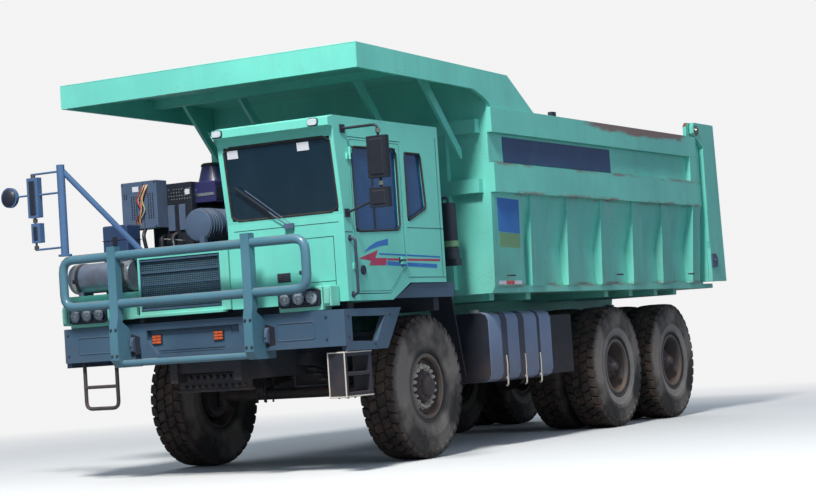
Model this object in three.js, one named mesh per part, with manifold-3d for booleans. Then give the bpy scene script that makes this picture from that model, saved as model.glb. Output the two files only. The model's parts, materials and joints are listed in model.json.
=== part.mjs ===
// A wide-body 6x4 mining dump truck with an offset cab, a dump body with a cab canopy, a top-hung
// tailgate, an underbody telescopic hoist, steered front wheels and twin rear wheels.
// Millimetres. +Z up, the ground at Z = 0, the front faces -Y and the driver's (left) side is +X.
// Every piece is drawn with the front axle at Y = 0; the whole group is then shifted along Y so that
// the origin is under the middle of the truck.
import * as THREE from "three";
import { mergeVertices } from "three/addons/utils/BufferGeometryUtils.js";
import Module from "manifold-3d";

const wasm = await Module();
wasm.setup();

// ---------------------------------------------------------------- driving dimensions
const SEAT = 0.3; // gap between two pieces that rest on each other
const RUN = 8; // gap between a moving piece and its neighbour

// wheels (16.00 R25 tyres)
const TYRE_RADIUS = 746;
const TYRE_WIDTH = 430;
const RIM_RADIUS = 318;
const RIM_WALL = 16;
const FRONT_TRACK_HALF = 1315; // to the middle of the front tyre
const REAR_TRACK_HALF = 1105; // to the middle of the twin tyres
const TWIN_SPACING = 500; // between the middles of the twin tyres
const REAR_AXLE_1 = 4715; // behind the front axle
const AXLE_SPACING = 1770;
const KINGPIN_X = 1060;
const WHEEL_SIDES = 32;
const RIM_SIDES = 24;

// chassis
const RAIL_INNER = 340;
const RAIL_WIDTH = 90;
const RAIL_TOP = 1350;
const RAIL_HEIGHT = 400;
const FRAME_FRONT = -1800;
const FRAME_REAR = 7230;
const PIVOT_Y = 7050; // body pivot
const PIVOT_Z = 1450;
const PIVOT_PIN = 45;

// front end
const BUMPER_FRONT = -1980;
const BUMPER_BOTTOM = 1217;
const BUMPER_TOP = 1565;
const BUMPER_HALF = 1700;
const WING_THICK = 60;
const BAR_Y = -2115; // bull bar tubes
const BAR_HALF = 1465;
const BAR_TOP = 2260;
const BAR_LOW = 1780;
const BAR_RADIUS = 46;
const UPRIGHT_X = 810;
const DECK_Z = 1900; // right-hand deck

// cab
const CAB_RIGHT = 375;
const CAB_LEFT = 1720;
const CAB_FRONT = -1800;
const CAB_REAR = 150;
const CAB_BOTTOM = 1640;
const CAB_STEP_Z = 1806; // underside over the wheel
const CAB_ROOF = 3415;
const CAB_WALL = 45;
const SILL_Z = 2470; // bottom of the windshield
const HEAD_Z = 3245; // top of the windshield
const WINDSHIELD_RAKE = 100; // top of the windshield ahead of its bottom
const DOOR_FRONT = -1640;
const DOOR_REAR = -650;
const DOOR_THICK = 50;
const DOOR_TOP = 3215;
const HINGE_RADIUS = 12;

// dump body
const BODY_FRONT = 1150;
const BODY_REAR = 7320; // rear edge of the sides
const BODY_BOTTOM = 1680;
const BODY_TOP = 3690;
const BODY_HALF = 1849;
const FLOOR_THICK = 60;
const FLOOR_REAR = 7960;
const FRONT_WALL = 60;
const RIB_COUNT = 5;
const RIB_FIRST = 2093;
const RIB_PITCH = 947;
const RIB_WIDTH = 296;
const BEAM_GAP = 25; // body beams over the rails
const CANOPY_FRONT = -1556;
const CANOPY_TOP_FRONT = 4138;
const CANOPY_TOP_REAR = 4071;
const CANOPY_REAR = 1646;
const CANOPY_HALF = BODY_HALF - 21;
const CANOPY_LIP = 247;
const CANOPY_PLATE = 20;
const TAILGATE_FRONT = 7340;
const TAILGATE_HINGE_Y = 7120;
const TAILGATE_HINGE_Z = 3780;
const TAILGATE_PIN = 28;

// hoist
const HOIST_BASE_Y = 1900;
const HOIST_BASE_Z = 1000;
const HOIST_TOP_Y = 3600;
const HOIST_TOP_Z = 1550;
const HOIST_RADIUS = 115;
const HOIST_PIN = 40;
const HOIST_HEAD = HOIST_RADIUS - 47; // half width of the rod's eye

// ---------------------------------------------------------------- materials
const finish = (color, roughness, metalness = 0) =>
  new THREE.MeshStandardMaterial({ color, roughness, metalness });
const MINT = finish(0x6fdcbc, 0.45);
const SLATE = finish(0x5d7899, 0.5);
const DARK = finish(0x1d2630, 0.6);
const STEEL = finish(0x9a9a98, 0.35, 0.9);
const GLASS = finish(0x1e3038, 0.08);
const RUBBER = finish(0x2f2b28, 0.9);
const RIM = finish(0x45433f, 0.7, 0.3);
const LAMP = finish(0xcfd8dc, 0.15);
const TANK = finish(0x8fa9c4, 0.35, 0.6);
const FILTER = finish(0x8c949b, 0.55);
const TRIM = finish(0x23282e, 0.8);

// ---------------------------------------------------------------- shape helpers
const V = (x, y, z) => new THREE.Vector3(x, y, z);

// A closed geometry as a manifold solid, turned to face out.
function solid(geometry) {
  const plain = geometry.index ? geometry.toNonIndexed() : geometry.clone();
  plain.deleteAttribute("normal");
  plain.deleteAttribute("uv");
  const merged = mergeVertices(plain, 1e-3);
  const triVerts = new Uint32Array(merged.index.array);
  const make = () =>
    new wasm.Manifold(
      new wasm.Mesh({ numProp: 3, vertProperties: merged.attributes.position.array, triVerts }),
    );
  const made = make();
  if (made.volume() > 0) return made;
  for (let i = 0; i < triVerts.length; i += 3) {
    [triVerts[i + 1], triVerts[i + 2]] = [triVerts[i + 2], triVerts[i + 1]];
  }
  return make();
}

const asSolid = (piece) => (piece.isBufferGeometry ? solid(piece) : piece);
const join = (...pieces) => pieces.map(asSolid).reduce((all, next) => all.add(next));
const cut = (piece, ...tools) =>
  tools.map(asSolid).reduce((left, tool) => left.subtract(tool), asSolid(piece));

function toGeometry(piece) {
  if (piece.isBufferGeometry) return toGeometry(solid(piece));
  const mesh = piece.getMesh();
  const geometry = new THREE.BufferGeometry();
  const points = new Float32Array((mesh.vertProperties.length / mesh.numProp) * 3);
  for (let i = 0; i < points.length / 3; i++) {
    for (let k = 0; k < 3; k++) points[i * 3 + k] = mesh.vertProperties[i * mesh.numProp + k];
  }
  geometry.setAttribute("position", new THREE.BufferAttribute(points, 3));
  geometry.setIndex(new THREE.BufferAttribute(new Uint32Array(mesh.triVerts), 1));
  geometry.computeVertexNormals();
  return geometry;
}

function box(x0, x1, y0, y1, z0, z1) {
  const [w, d, h] = [Math.abs(x1 - x0), Math.abs(y1 - y0), Math.abs(z1 - z0)];
  return new THREE.BoxGeometry(w, d, h).translate((x0 + x1) / 2, (y0 + y1) / 2, (z0 + z1) / 2);
}

const outline = (points) => new THREE.Shape(points.map(([a, b]) => new THREE.Vector2(a, b)));
const extruded = (shape, depth, curveSegments = 6) =>
  new THREE.ExtrudeGeometry(shape, { depth, bevelEnabled: false, curveSegments });

// An outline of [y, z] points, extruded from x0 to x1.
function alongX(points, x0, x1) {
  const turn = new THREE.Matrix4().makeBasis(V(0, 1, 0), V(0, 0, 1), V(1, 0, 0));
  const geometry = extruded(outline(points), Math.abs(x1 - x0)).applyMatrix4(turn);
  return geometry.translate(Math.min(x0, x1), 0, 0);
}

// An outline of [x, z] points, extruded from y0 to y1.
function alongY(points, y0, y1) {
  const turn = new THREE.Matrix4().makeBasis(V(1, 0, 0), V(0, 0, 1), V(0, -1, 0));
  const geometry = extruded(outline(points), Math.abs(y1 - y0)).applyMatrix4(turn);
  return geometry.translate(0, Math.max(y0, y1), 0);
}

// An outline of [x, y] points, extruded from z0 to z1.
const alongZ = (points, z0, z1) => extruded(outline(points), z1 - z0).translate(0, 0, z0);

// A round bar between two points.
function rod(a, b, radius, sides = 16, endRadius = radius) {
  const length = a.distanceTo(b);
  const geometry = new THREE.CylinderGeometry(endRadius, radius, length, sides);
  const turn = new THREE.Quaternion().setFromUnitVectors(
    V(0, 1, 0),
    b.clone().sub(a).normalize(),
  );
  return geometry.applyQuaternion(turn).translate((a.x + b.x) / 2, (a.y + b.y) / 2, (a.z + b.z) / 2);
}

// A path through given points, one step each.
class PointPath extends THREE.Curve {
  constructor(points) {
    super();
    this.points = points;
  }
  getPoint(t) {
    const place = Math.min(Math.max(t, 0), 1) * (this.points.length - 1);
    const i = Math.min(Math.floor(place), this.points.length - 2);
    return this.points[i].clone().lerp(this.points[i + 1], place - i);
  }
  getPointAt(t) {
    return this.getPoint(t);
  }
  getTangentAt(t) {
    return this.getTangent(t);
  }
}

// Radius of a bore of flat sides in which a round pin of as many sides can turn.
const PIN_SIDES = 20;
const boreFor = (radius) => radius / Math.cos(Math.PI / PIN_SIDES) + SEAT;

// A round tube that follows straight runs with round corners.
function bentTube(points, radius, corner, sides = 12) {
  const cornerSteps = 4;
  const route = [points[0]];
  for (let i = 1; i < points.length - 1; i++) {
    const [before, at, after] = [points[i - 1], points[i], points[i + 1]];
    const start = at.clone().add(before.clone().sub(at).setLength(corner));
    const end = at.clone().add(after.clone().sub(at).setLength(corner));
    const bend = new THREE.QuadraticBezierCurve3(start, at.clone(), end);
    route.push(...bend.getPoints(cornerSteps));
  }
  route.push(points[points.length - 1]);
  const ring = Array.from({ length: sides }, (_, i) => {
    const angle = (i * 2 * Math.PI) / sides;
    return new THREE.Vector2(radius * Math.cos(angle), radius * Math.sin(angle));
  });
  const steps = route.length - 1;
  return new THREE.ExtrudeGeometry(new THREE.Shape(ring), { steps, extrudePath: new PointPath(route) });
}

// A profile of [radius, x] points turned about the X axis through the origin.
function turnedX(points, sides = WHEEL_SIDES) {
  const profile = points.map(([r, x]) => new THREE.Vector2(r, x));
  const flat = Math.PI / sides;
  return new THREE.LatheGeometry(profile, sides, flat).rotateZ(-Math.PI / 2);
}

const group = new THREE.Group();

// Adds one named piece; its parent defaults to the truck itself.
function add(name, piece, material, parent = group) {
  const mesh = new THREE.Mesh(toGeometry(piece), material);
  mesh.name = name;
  parent.add(mesh);
  return mesh;
}

const SIDES = [
  ["left", 1],
  ["right", -1],
];

// ---------------------------------------------------------------- chassis
function chassis() {
  const bottom = RAIL_TOP - RAIL_HEIGHT;
  const outer = RAIL_INNER + RAIL_WIDTH;
  const pieces = [];
  for (const s of [1, -1]) {
    pieces.push(box(s * RAIL_INNER, s * outer, FRAME_FRONT, FRAME_REAR, bottom, RAIL_TOP));
    // plates that carry the body pivot pin
    const ear = [
      [PIVOT_Y - 220, RAIL_TOP - 200],
      [PIVOT_Y + 170, RAIL_TOP - 200],
      [PIVOT_Y + 90, PIVOT_Z + 85],
      [PIVOT_Y - 90, PIVOT_Z + 85],
    ];
    pieces.push(alongX(ear, s * (outer + RUN), s * (outer + 45)));
    const bracket = [PIVOT_Y - 220, PIVOT_Y + 170, RAIL_TOP - 200, RAIL_TOP - 20];
    pieces.push(box(s * outer, s * (outer + 45), ...bracket));
    // front deck posts and outriggers that carry tanks and boxes
    for (const y of [CAB_FRONT + 100, -10]) {
      pieces.push(box(s * RAIL_INNER, s * outer, y, y + 110, RAIL_TOP - 10, FRONT_BEAM_BOTTOM + 10));
    }
    for (const y of OUTRIGGERS) {
      pieces.push(box(s * (outer - 10), s * TANK_INNER, y, y + 90, 1180, 1290));
    }
  }
  for (const y of [FRAME_FRONT + 40, 1040, 4200, 5540, 6900]) {
    pieces.push(box(-RAIL_INNER - 5, RAIL_INNER + 5, y, y + 130, bottom + 90, RAIL_TOP - 90));
  }
  // hoist trunnion beam with two ears
  const base = HOIST_BASE_Y;
  for (const s of [1, -1]) {
    const lug = [
      [base - 70, HOIST_BASE_Z - 70],
      [base + 70, HOIST_BASE_Z - 70],
      [base + 70, HOIST_BASE_Z + 70],
      [base - 70, HOIST_BASE_Z + 70],
    ];
    pieces.push(alongX(lug, s * (HOIST_RADIUS + RUN), s * (RAIL_INNER + 5)));
  }
  const pinHalf = HOIST_RADIUS + 20;
  const pinEnds = [V(-pinHalf, base, HOIST_BASE_Z), V(pinHalf, base, HOIST_BASE_Z)];
  pieces.push(rod(...pinEnds, HOIST_PIN, PIN_SIDES));
  const pinEnd = outer + 45;
  pieces.push(rod(V(-pinEnd, PIVOT_Y, PIVOT_Z), V(pinEnd, PIVOT_Y, PIVOT_Z), PIVOT_PIN, PIN_SIDES));
  // cross beams under the cab and deck
  const reach = BUMPER_HALF - WING_THICK - SEAT;
  pieces.push(box(-reach, reach, CAB_FRONT + 100, CAB_FRONT + 210, FRONT_BEAM_BOTTOM, CAB_BOTTOM - SEAT));
  pieces.push(box(-reach, reach, -10, 100, FRONT_BEAM_BOTTOM, FENDER_TOP - FENDER_PLATE - SEAT));
  return join(...pieces);
}

// front cross beams, tanks and fenders
const FRONT_BEAM_BOTTOM = 1520;
const FENDER_TOP = 1800;
const FENDER_PLATE = 40;
const TANK_INNER = 950;
const TANK_OUTER = 1600;
const TANK_FRONT = 1250;
const TANK_BOTTOM = 720;
const TANK_TOP = 1480;
const SIDE_BOX_REAR = REAR_AXLE_1 - TYRE_RADIUS - 489; // ahead of the rear tyres
const TANK_REAR = SIDE_BOX_REAR - 680;
const OUTRIGGERS = [1350, 2560, 3200];

add("chassis_frame", chassis(), DARK);

// ---------------------------------------------------------------- front end
function bumper() {
  const thick = 180;
  const chamfer = 110;
  const plan = [
    [-BUMPER_HALF + chamfer, BUMPER_FRONT],
    [BUMPER_HALF - chamfer, BUMPER_FRONT],
    [BUMPER_HALF, BUMPER_FRONT + chamfer],
    [BUMPER_HALF, BUMPER_FRONT + thick - SEAT],
    [-BUMPER_HALF, BUMPER_FRONT + thick - SEAT],
    [-BUMPER_HALF, BUMPER_FRONT + chamfer],
  ];
  let body = solid(alongZ(plan, BUMPER_BOTTOM, BUMPER_TOP));
  // recess in the middle for the lamps
  body = cut(body, box(-560, 560, BUMPER_FRONT - 10, BUMPER_FRONT + 60, BUMPER_BOTTOM + 40, BUMPER_TOP - 70));
  // side wings with a slanted opening each
  for (const s of [1, -1]) {
    const wing = [
      [BUMPER_FRONT + chamfer + 20, BUMPER_BOTTOM - 50],
      [-1090, BUMPER_BOTTOM - 50],
      [-790, BUMPER_TOP],
      [BUMPER_FRONT + chamfer + 20, BUMPER_TOP],
    ];
    const window = [
      [-1740, BUMPER_BOTTOM + 40],
      [-1290, BUMPER_BOTTOM + 30],
      [-1120, BUMPER_TOP - 75],
      [-1740, BUMPER_TOP - 70],
    ];
    const plate = cut(
      alongX(wing, s * (BUMPER_HALF - WING_THICK), s * BUMPER_HALF),
      alongX(window, s * (BUMPER_HALF - 80), s * (BUMPER_HALF + 20)),
    );
    body = join(body, plate);
  }
  // hooks' cut-outs beside the uprights
  for (const s of [1, -1]) {
    const x = s * (UPRIGHT_X - 130);
    const slot = [BUMPER_FRONT - 10, BUMPER_FRONT + 90, BUMPER_BOTTOM - 10, BUMPER_BOTTOM + 110];
    body = cut(body, box(x - 40, x + 40, ...slot));
  }
  return join(body, rightStep());
}

function bullBar() {
  const loop = [];
  const corner = 130;
  const [zLow, zTop] = [BAR_LOW, BAR_TOP];
  loop.push(
    bentTube(
      [
        V(0, BAR_Y, zTop),
        V(BAR_HALF, BAR_Y, zTop),
        V(BAR_HALF, BAR_Y, zLow),
        V(-BAR_HALF, BAR_Y, zLow),
        V(-BAR_HALF, BAR_Y, zTop),
        V(-5, BAR_Y, zTop),
      ],
      BAR_RADIUS,
      corner,
    ),
  );
  loop.push(rod(V(-20, BAR_Y, zTop), V(20, BAR_Y, zTop), BAR_RADIUS + 1, 16));
  for (const s of [1, -1]) {
    // plate uprights that wrap the bumper from below
    const [front, deep] = [BUMPER_FRONT - SEAT, 75];
    const shape = [
      [BAR_Y - 50, BAR_TOP + 95],
      [BAR_Y + 45, BAR_TOP + 95],
      [BAR_Y + 45, BAR_LOW - 120],
      [BAR_Y + 15, BUMPER_TOP + 30],
      [front, BUMPER_TOP - 40],
      [front, BUMPER_BOTTOM - SEAT],
      [front + 175, BUMPER_BOTTOM - SEAT],
      [front + 175, BUMPER_BOTTOM - deep],
      [BAR_Y - 10, BUMPER_BOTTOM - deep],
      [BAR_Y - 75, BUMPER_BOTTOM],
      [BAR_Y - 75, BUMPER_TOP],
      [BAR_Y - 50, BAR_LOW - 130],
    ];
    loop.push(alongX(shape, s * (UPRIGHT_X - 50), s * (UPRIGHT_X + 50)));
  }
  const footEnds = [-UPRIGHT_X, UPRIGHT_X].map((x) => V(x, BAR_Y + 15, BUMPER_BOTTOM - 35));
  loop.push(rod(...footEnds, 34));
  return join(...loop);
}
add("bull_bar", bullBar(), SLATE);

function headlamp(s) {
  const inner = 1030;
  const outer = 1530;
  const face = BUMPER_FRONT - 20;
  const body = box(s * inner, s * outer, face, CAB_FRONT - SEAT, BUMPER_TOP + SEAT, BUMPER_TOP + 235);
  const lenses = [0, 1, 2].map((i) => {
    const x = s * (inner + 95 + i * 155);
    return rod(V(x, face - 25, BUMPER_TOP + 125), V(x, face + 20, BUMPER_TOP + 125), 68);
  });
  return join(body, ...lenses);
}
for (const [side, s] of SIDES) add(`headlamp_${side}`, headlamp(s), LAMP);

function grilleHousing() {
  const [left, right] = [CAB_RIGHT - 10, -750];
  const [front, rear] = [CAB_FRONT - 20, CAB_FRONT + 95];
  const [low, high] = [CAB_BOTTOM + 5, 2240];
  const frame = box(right, left, front, rear, low, high);
  const recess = box(right + 25, left - 105, front - 10, front + 35, low + 45, high - 25);
  const tray = box(right - 40, left - 60, front - 45, front + 40, low - 20, low + 12);
  return join(cut(frame, recess), tray);
}
add("grille_housing", grilleHousing(), MINT);

// plain block for the engine and cooling pack
const ENGINE_TOP = 2200;
const GEARBOX_REAR = 820;
const NOSE_LENGTH = 420;
const AXLE_NOSE = REAR_AXLE_1 - NOSE_LENGTH;
const engine = join(
  box(-730, CAB_RIGHT - 20, CAB_FRONT + 215, -20, CAB_BOTTOM + 5, ENGINE_TOP),
  box(-RAIL_INNER + 10, RAIL_INNER - 10, -1400, -700, 1000, CAB_BOTTOM + 10),
  box(-220, 220, -710, GEARBOX_REAR, 1000, 1180),
  box(-200, 200, 120, GEARBOX_REAR, 820, 1260),
  rod(V(0, GEARBOX_REAR - 20, 860), V(0, AXLE_NOSE - 40, TYRE_RADIUS), 42, 12),
  rod(V(0, AXLE_NOSE - 60, TYRE_RADIUS), V(0, AXLE_NOSE - SEAT, TYRE_RADIUS), 62, 12),
);
add("engine_and_driveline", engine, DARK);

// upper engine unit with its intake cap
const UNIT = { x0: -1100, x1: -580, y0: -1050, y1: -400, top: 3030 };
function upperUnit() {
  const capX = -500;
  const tower = box(UNIT.x0, UNIT.x1, UNIT.y0, UNIT.y1, ENGINE_TOP + SEAT, UNIT.top);
  const shelf = box(UNIT.x1 - 10, -320, UNIT.y0 + 80, UNIT.y1, 2820, 2960);
  const cap = rod(V(capX, -760, 2950), V(capX, -760, 3200), 175, 16, 110);
  return join(tower, shelf, cap);
}
add("upper_engine_unit", upperUnit(), DARK);

const controlBox = box(-1350, -890, UNIT.y0 - 190, UNIT.y0 - SEAT, 2570, 3070);
add("control_box", controlBox, FILTER);

function airFilter() {
  const [x, z, r] = [-340, 2545, 172];
  const can = rod(V(x, -1290, z), V(x, -700, z), r, 24);
  const ring = rod(V(x, -1120, z), V(x, -1080, z), r + 12, 24);
  const foot = box(x - 110, x + 110, -1080, -820, ENGINE_TOP + SEAT, z - r + 30);
  return join(can, ring, foot);
}
add("air_filter", airFilter(), FILTER);

// right-hand deck with the silencer and a service box on it
const DECK_INNER = -790;
function rightDeck() {
  const plate = box(-1650, DECK_INNER, CAB_FRONT - 20, CAB_REAR, DECK_Z - 95, DECK_Z);
  const apron = box(-1010, DECK_INNER, CAB_FRONT - 20, CAB_FRONT + 15, BUMPER_TOP + 60, DECK_Z - 90);
  const legs = [CAB_FRONT + 110, 0].map((y) =>
    box(-1500, -1420, y, y + 80, CAB_BOTTOM + (y < -100 ? 0 : FENDER_TOP - CAB_BOTTOM + SEAT), DECK_Z - 90),
  );
  return join(plate, apron, ...legs);
}
add("right_deck", rightDeck(), MINT);

function muffler() {
  const [y, r] = [CAB_FRONT + 150, 155];
  const z = DECK_Z + r + 25;
  const shell = rod(V(-1670, y, z), V(-890, y, z), r, 24);
  const feet = [-1560, -1030].map((x) => box(x - 30, x + 30, y - 90, y + 90, DECK_Z + SEAT, z - r + 40));
  return join(shell, ...feet);
}
add("muffler", muffler(), STEEL);

add("service_box", box(-1440, -1115, -1480, UNIT.y0 - 190 - RUN, DECK_Z + SEAT, 2620), SLATE);

// ---------------------------------------------------------------- cab
// Cab side view: [y, z], with the reverse-raked windshield and the step over the wheel.
const cabSide = (inset) => [
  [CAB_FRONT + inset, CAB_BOTTOM + inset],
  [-960 + inset * 0.4, CAB_BOTTOM + inset],
  [-600 + inset * 0.4, CAB_STEP_Z + inset],
  [CAB_REAR - inset, CAB_STEP_Z + inset],
  [CAB_REAR - inset, CAB_ROOF - inset],
  [CAB_FRONT - WINDSHIELD_RAKE + inset, CAB_ROOF - inset],
  [CAB_FRONT - WINDSHIELD_RAKE + inset, HEAD_Z],
  [CAB_FRONT + inset, SILL_Z],
];

// Door outline: [y, z], cut away over the wheel.
const doorOutline = (grow) => [
  [DOOR_FRONT - grow, CAB_BOTTOM + 70 - grow],
  [-985, CAB_BOTTOM + 70 - grow],
  [DOOR_REAR + grow, 1960 - grow * 0.6],
  [DOOR_REAR + grow, DOOR_TOP + grow],
  [DOOR_FRONT - grow, DOOR_TOP + grow],
];
const DOOR_WINDOW = [
  [DOOR_FRONT + 55, 2300],
  [DOOR_REAR - 80, 2330],
  [DOOR_REAR - 80, 3150],
  [DOOR_FRONT + 45, 3130],
];
const QUARTER_WINDOW = [
  [DOOR_REAR + 75, 2420],
  [-180, 2560],
  [-240, 3120],
  [DOOR_REAR + 75, 3120],
];
const GLASS_THICK = 6;

function windshieldOutline(inset) {
  return [
    [CAB_RIGHT + 65 + inset, SILL_Z + 30 + inset],
    [CAB_LEFT - 50 - inset, SILL_Z + 30 + inset],
    [CAB_LEFT - 50 - inset, HEAD_Z - 25 - inset],
    [CAB_RIGHT + 65 + inset, HEAD_Z - 25 - inset],
  ];
}

// The windshield plane as a slab that leans with it; depth is counted from the outer face.
function windshieldSlab(inset, from, to) {
  const flat = solid(alongY(windshieldOutline(inset), CAB_FRONT + from, CAB_FRONT + to));
  const lean = WINDSHIELD_RAKE / (HEAD_Z - SILL_Z);
  return flat.transform([1, 0, 0, 0, 0, 1, 0, 0, 0, -lean, 1, 0, 0, lean * SILL_Z, 0, 1]);
}

// Half of a door hinge: a barrel on the hinge axis and a leaf to the front or to the rear of it.
const HINGE_Y = DOOR_FRONT;
const HINGE_X = CAB_LEFT + HINGE_RADIUS + 1;
const HINGE_HEIGHTS = [2000, 3060];
const HINGE_HALF = 60;
function hingeHalf(z0, z1, direction) {
  const barrel = rod(V(HINGE_X, HINGE_Y, z0), V(HINGE_X, HINGE_Y, z1), HINGE_RADIUS, 12);
  const leafY = direction > 0 ? HINGE_Y : HINGE_Y - RUN;
  return join(barrel, box(CAB_LEFT - 3, HINGE_X, leafY, leafY + direction * 45, z0, z1));
}

function cabShell() {
  let shell = cut(
    alongX(cabSide(0), CAB_RIGHT, CAB_LEFT),
    alongX(cabSide(CAB_WALL), CAB_RIGHT + CAB_WALL, CAB_LEFT - CAB_WALL),
  );
  shell = cut(
    shell,
    windshieldSlab(0, -60, 120),
    alongX(doorOutline(RUN), CAB_LEFT - DOOR_THICK - 20, CAB_LEFT + 20),
    alongX(QUARTER_WINDOW, CAB_LEFT - 80, CAB_LEFT + 20),
    alongX([[-1550, 2420], [-250, 2420], [-250, 3100], [-1550, 3120]], CAB_RIGHT - 20, CAB_RIGHT + 80),
    box(CAB_RIGHT + 170, CAB_LEFT - 170, CAB_REAR - 80, CAB_REAR + 20, 2450, 3050),
  );
  // roof visor and the cab's halves of the door hinges
  const visor = [
    [CAB_FRONT - WINDSHIELD_RAKE + 10, HEAD_Z + 60],
    [-1985, HEAD_Z + 70],
    [-1985, CAB_ROOF - 25],
    [CAB_FRONT - WINDSHIELD_RAKE + 10, CAB_ROOF],
  ];
  const hinges = HINGE_HEIGHTS.map((z) => hingeHalf(z - HINGE_HALF, z, -1));
  return join(shell, alongX(visor, CAB_RIGHT, CAB_LEFT), ...hinges);
}
add("cab_shell", cabShell(), MINT);

add("windshield", windshieldSlab(SEAT, 12, 12 + GLASS_THICK), GLASS);

function cabDoor() {
  const panel = cut(
    alongX(doorOutline(0), CAB_LEFT - DOOR_THICK, CAB_LEFT),
    alongX(DOOR_WINDOW, CAB_LEFT - DOOR_THICK - 10, CAB_LEFT + 10),
  );
  const handle = box(CAB_LEFT - 2, CAB_LEFT + 28, DOOR_REAR - 130, DOOR_REAR - 60, 1990, 2060);
  const hinges = HINGE_HEIGHTS.map((z) => hingeHalf(z + SEAT, z + SEAT + HINGE_HALF, 1));
  return join(panel, handle, ...hinges);
}
add("cab_door", cabDoor(), MINT);

const inWindow = DOOR_WINDOW.map(([y, z], i) => {
  const signs = [[1, 1], [-1, 1], [-1, -1], [1, -1]][i];
  return [y + signs[0] * SEAT, z + signs[1] * SEAT];
});
add("door_glass", alongX(inWindow, CAB_LEFT - 30, CAB_LEFT - 30 + GLASS_THICK), GLASS);

// seat, dashboard and steering wheel stand on the cab floor
const CAB_FLOOR = CAB_BOTTOM + CAB_WALL;
function seat() {
  const [x, y] = [1150, -700];
  const cushion = box(x - 250, x + 250, y - 280, y + 230, 2130, 2270);
  const back = alongX([[y + 150, 2200], [y + 290, 2200], [y + 390, 2870], [y + 270, 2870]], x - 240, x + 240);
  const base = box(x - 160, x + 160, y - 200, y + 160, CAB_STEP_Z + CAB_WALL + SEAT, 2140);
  return join(cushion, back, base);
}
add("seat", seat(), TRIM);

function dashboard() {
  const [x0, x1] = [CAB_RIGHT + CAB_WALL + SEAT, CAB_LEFT - CAB_WALL - 40];
  const [front, z] = [CAB_FRONT + CAB_WALL + SEAT, 2400];
  const section = [
    [front, CAB_FLOOR + SEAT],
    [front + 160, CAB_FLOOR + SEAT],
    [front + 190, 2150],
    [front + 330, z - 110],
    [front + 300, z],
    [front, z],
  ];
  const top = alongX(section, x0, x1);
  const hub = V(1150, -1180, 2440);
  const column = rod(V(1150, -1440, 2250), hub, 32, 12);
  const wheel = new THREE.TorusGeometry(220, 17, 8, 24);
  const axis = V(0, 0.81, 0.586).normalize();
  wheel.applyQuaternion(new THREE.Quaternion().setFromUnitVectors(V(0, 0, 1), axis));
  wheel.translate(hub.x, hub.y, hub.z);
  const spoke = rod(V(1150 - 215, hub.y, hub.z), V(1150 + 215, hub.y, hub.z), 14, 8);
  return join(top, column, wheel, spoke);
}
add("dashboard", dashboard(), TRIM);

// ---------------------------------------------------------------- mirrors, fenders, steps
const MIRROR_REACH = 2220;
function leftMirror() {
  const y = CAB_FRONT + 60;
  const root = CAB_LEFT + SEAT;
  const arm = bentTube([V(root, y, 3290), V(2120, y, 3290), V(2120, y, 2520)], 14, 60, 8);
  const low = rod(V(root + 4, y, 2480), V(2120, y, 2600), 12, 8);
  const main = box(2010, MIRROR_REACH, y - 45, y + 25, 2780, 3180);
  const small = box(2010, MIRROR_REACH - 5, y - 45, y + 25, 2500, 2690);
  const pads = [3290, 2480].map((z) => box(root, root + 14, y - 40, y + 40, z - 40, z + 40));
  return join(arm, low, main, small, ...pads);
}
add("mirror_left", leftMirror(), TRIM);

function rightMirror() {
  const [x, y, top] = [-BAR_HALF, BAR_Y, 3240];
  const foot = BAR_TOP + BAR_RADIUS + SEAT;
  const post = rod(V(x + 40, y, foot), V(x + 40, y, top), 42, 12);
  const brace = rod(V(x + 45, y + 20, top - 60), V(-715, CAB_FRONT + 30, 2300), 30, 10);
  const heel = box(-750, -680, CAB_FRONT - 5, CAB_FRONT + 75, 2240 + SEAT, 2330);
  const arms = [3175, 2960, 2400].map((z) => rod(V(x + 30, y, z), V(-1800, y + 10, z), 11, 8));
  const stem = rod(V(-1800, y + 10, 2390), V(-1800, y + 10, 3185), 12, 8);
  const main = box(-1860, -1720, y - 25, y + 45, 2730, 3140);
  const small = box(-1830, -1715, y - 25, y + 45, 2470, 2670);
  const round = rod(V(-2115, y - 15, 2965), V(-2115, y + 25, 2965), MIRROR_REACH - 2115, 20);
  const link = rod(V(-2115, y + 5, 2965), V(-1800, y + 10, 2965), 10, 8);
  const cap = rod(V(x + 40, y, foot), V(x + 40, y, foot + 20), 70, 12);
  return join(post, brace, heel, ...arms, stem, main, small, round, link, cap);
}
add("mirror_right", rightMirror(), SLATE);

function fender(s) {
  const [inner, outer] = [s * 1110, s * (BUMPER_HALF + 5)];
  const rear = 330;
  const plate = alongX(
    [
      [-900, 1655],
      [-860, 1655],
      [-520, FENDER_TOP - FENDER_PLATE],
      [rear, FENDER_TOP - FENDER_PLATE],
      [rear, FENDER_TOP],
      [-540, FENDER_TOP],
    ],
    inner,
    outer,
  );
  const apron = alongX(
    [
      [-900, 1655],
      [rear, 1655],
      [rear, FENDER_TOP],
      [-540, FENDER_TOP],
    ],
    s * (BUMPER_HALF - 25),
    outer,
  );
  const flapTop = 800;
  const bracket = alongX(
    [
      [rear - 10, FENDER_TOP - FENDER_PLATE],
      [flapTop + 20, FENDER_TOP - FENDER_PLATE - 60],
      [flapTop + 20, FENDER_TOP],
      [rear - 10, FENDER_TOP],
    ],
    s * 1115,
    s * 1400,
  );
  const flap = alongX(
    [
      [flapTop, FENDER_TOP - 80],
      [flapTop + 225, 800],
      [flapTop + 245, 800],
      [flapTop + 20, FENDER_TOP - 80],
    ],
    s * 1112,
    s * 1402,
  );
  return join(plate, apron, bracket, flap);
}
for (const [side, s] of SIDES) add(`fender_${side}`, fender(s), SLATE);

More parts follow.
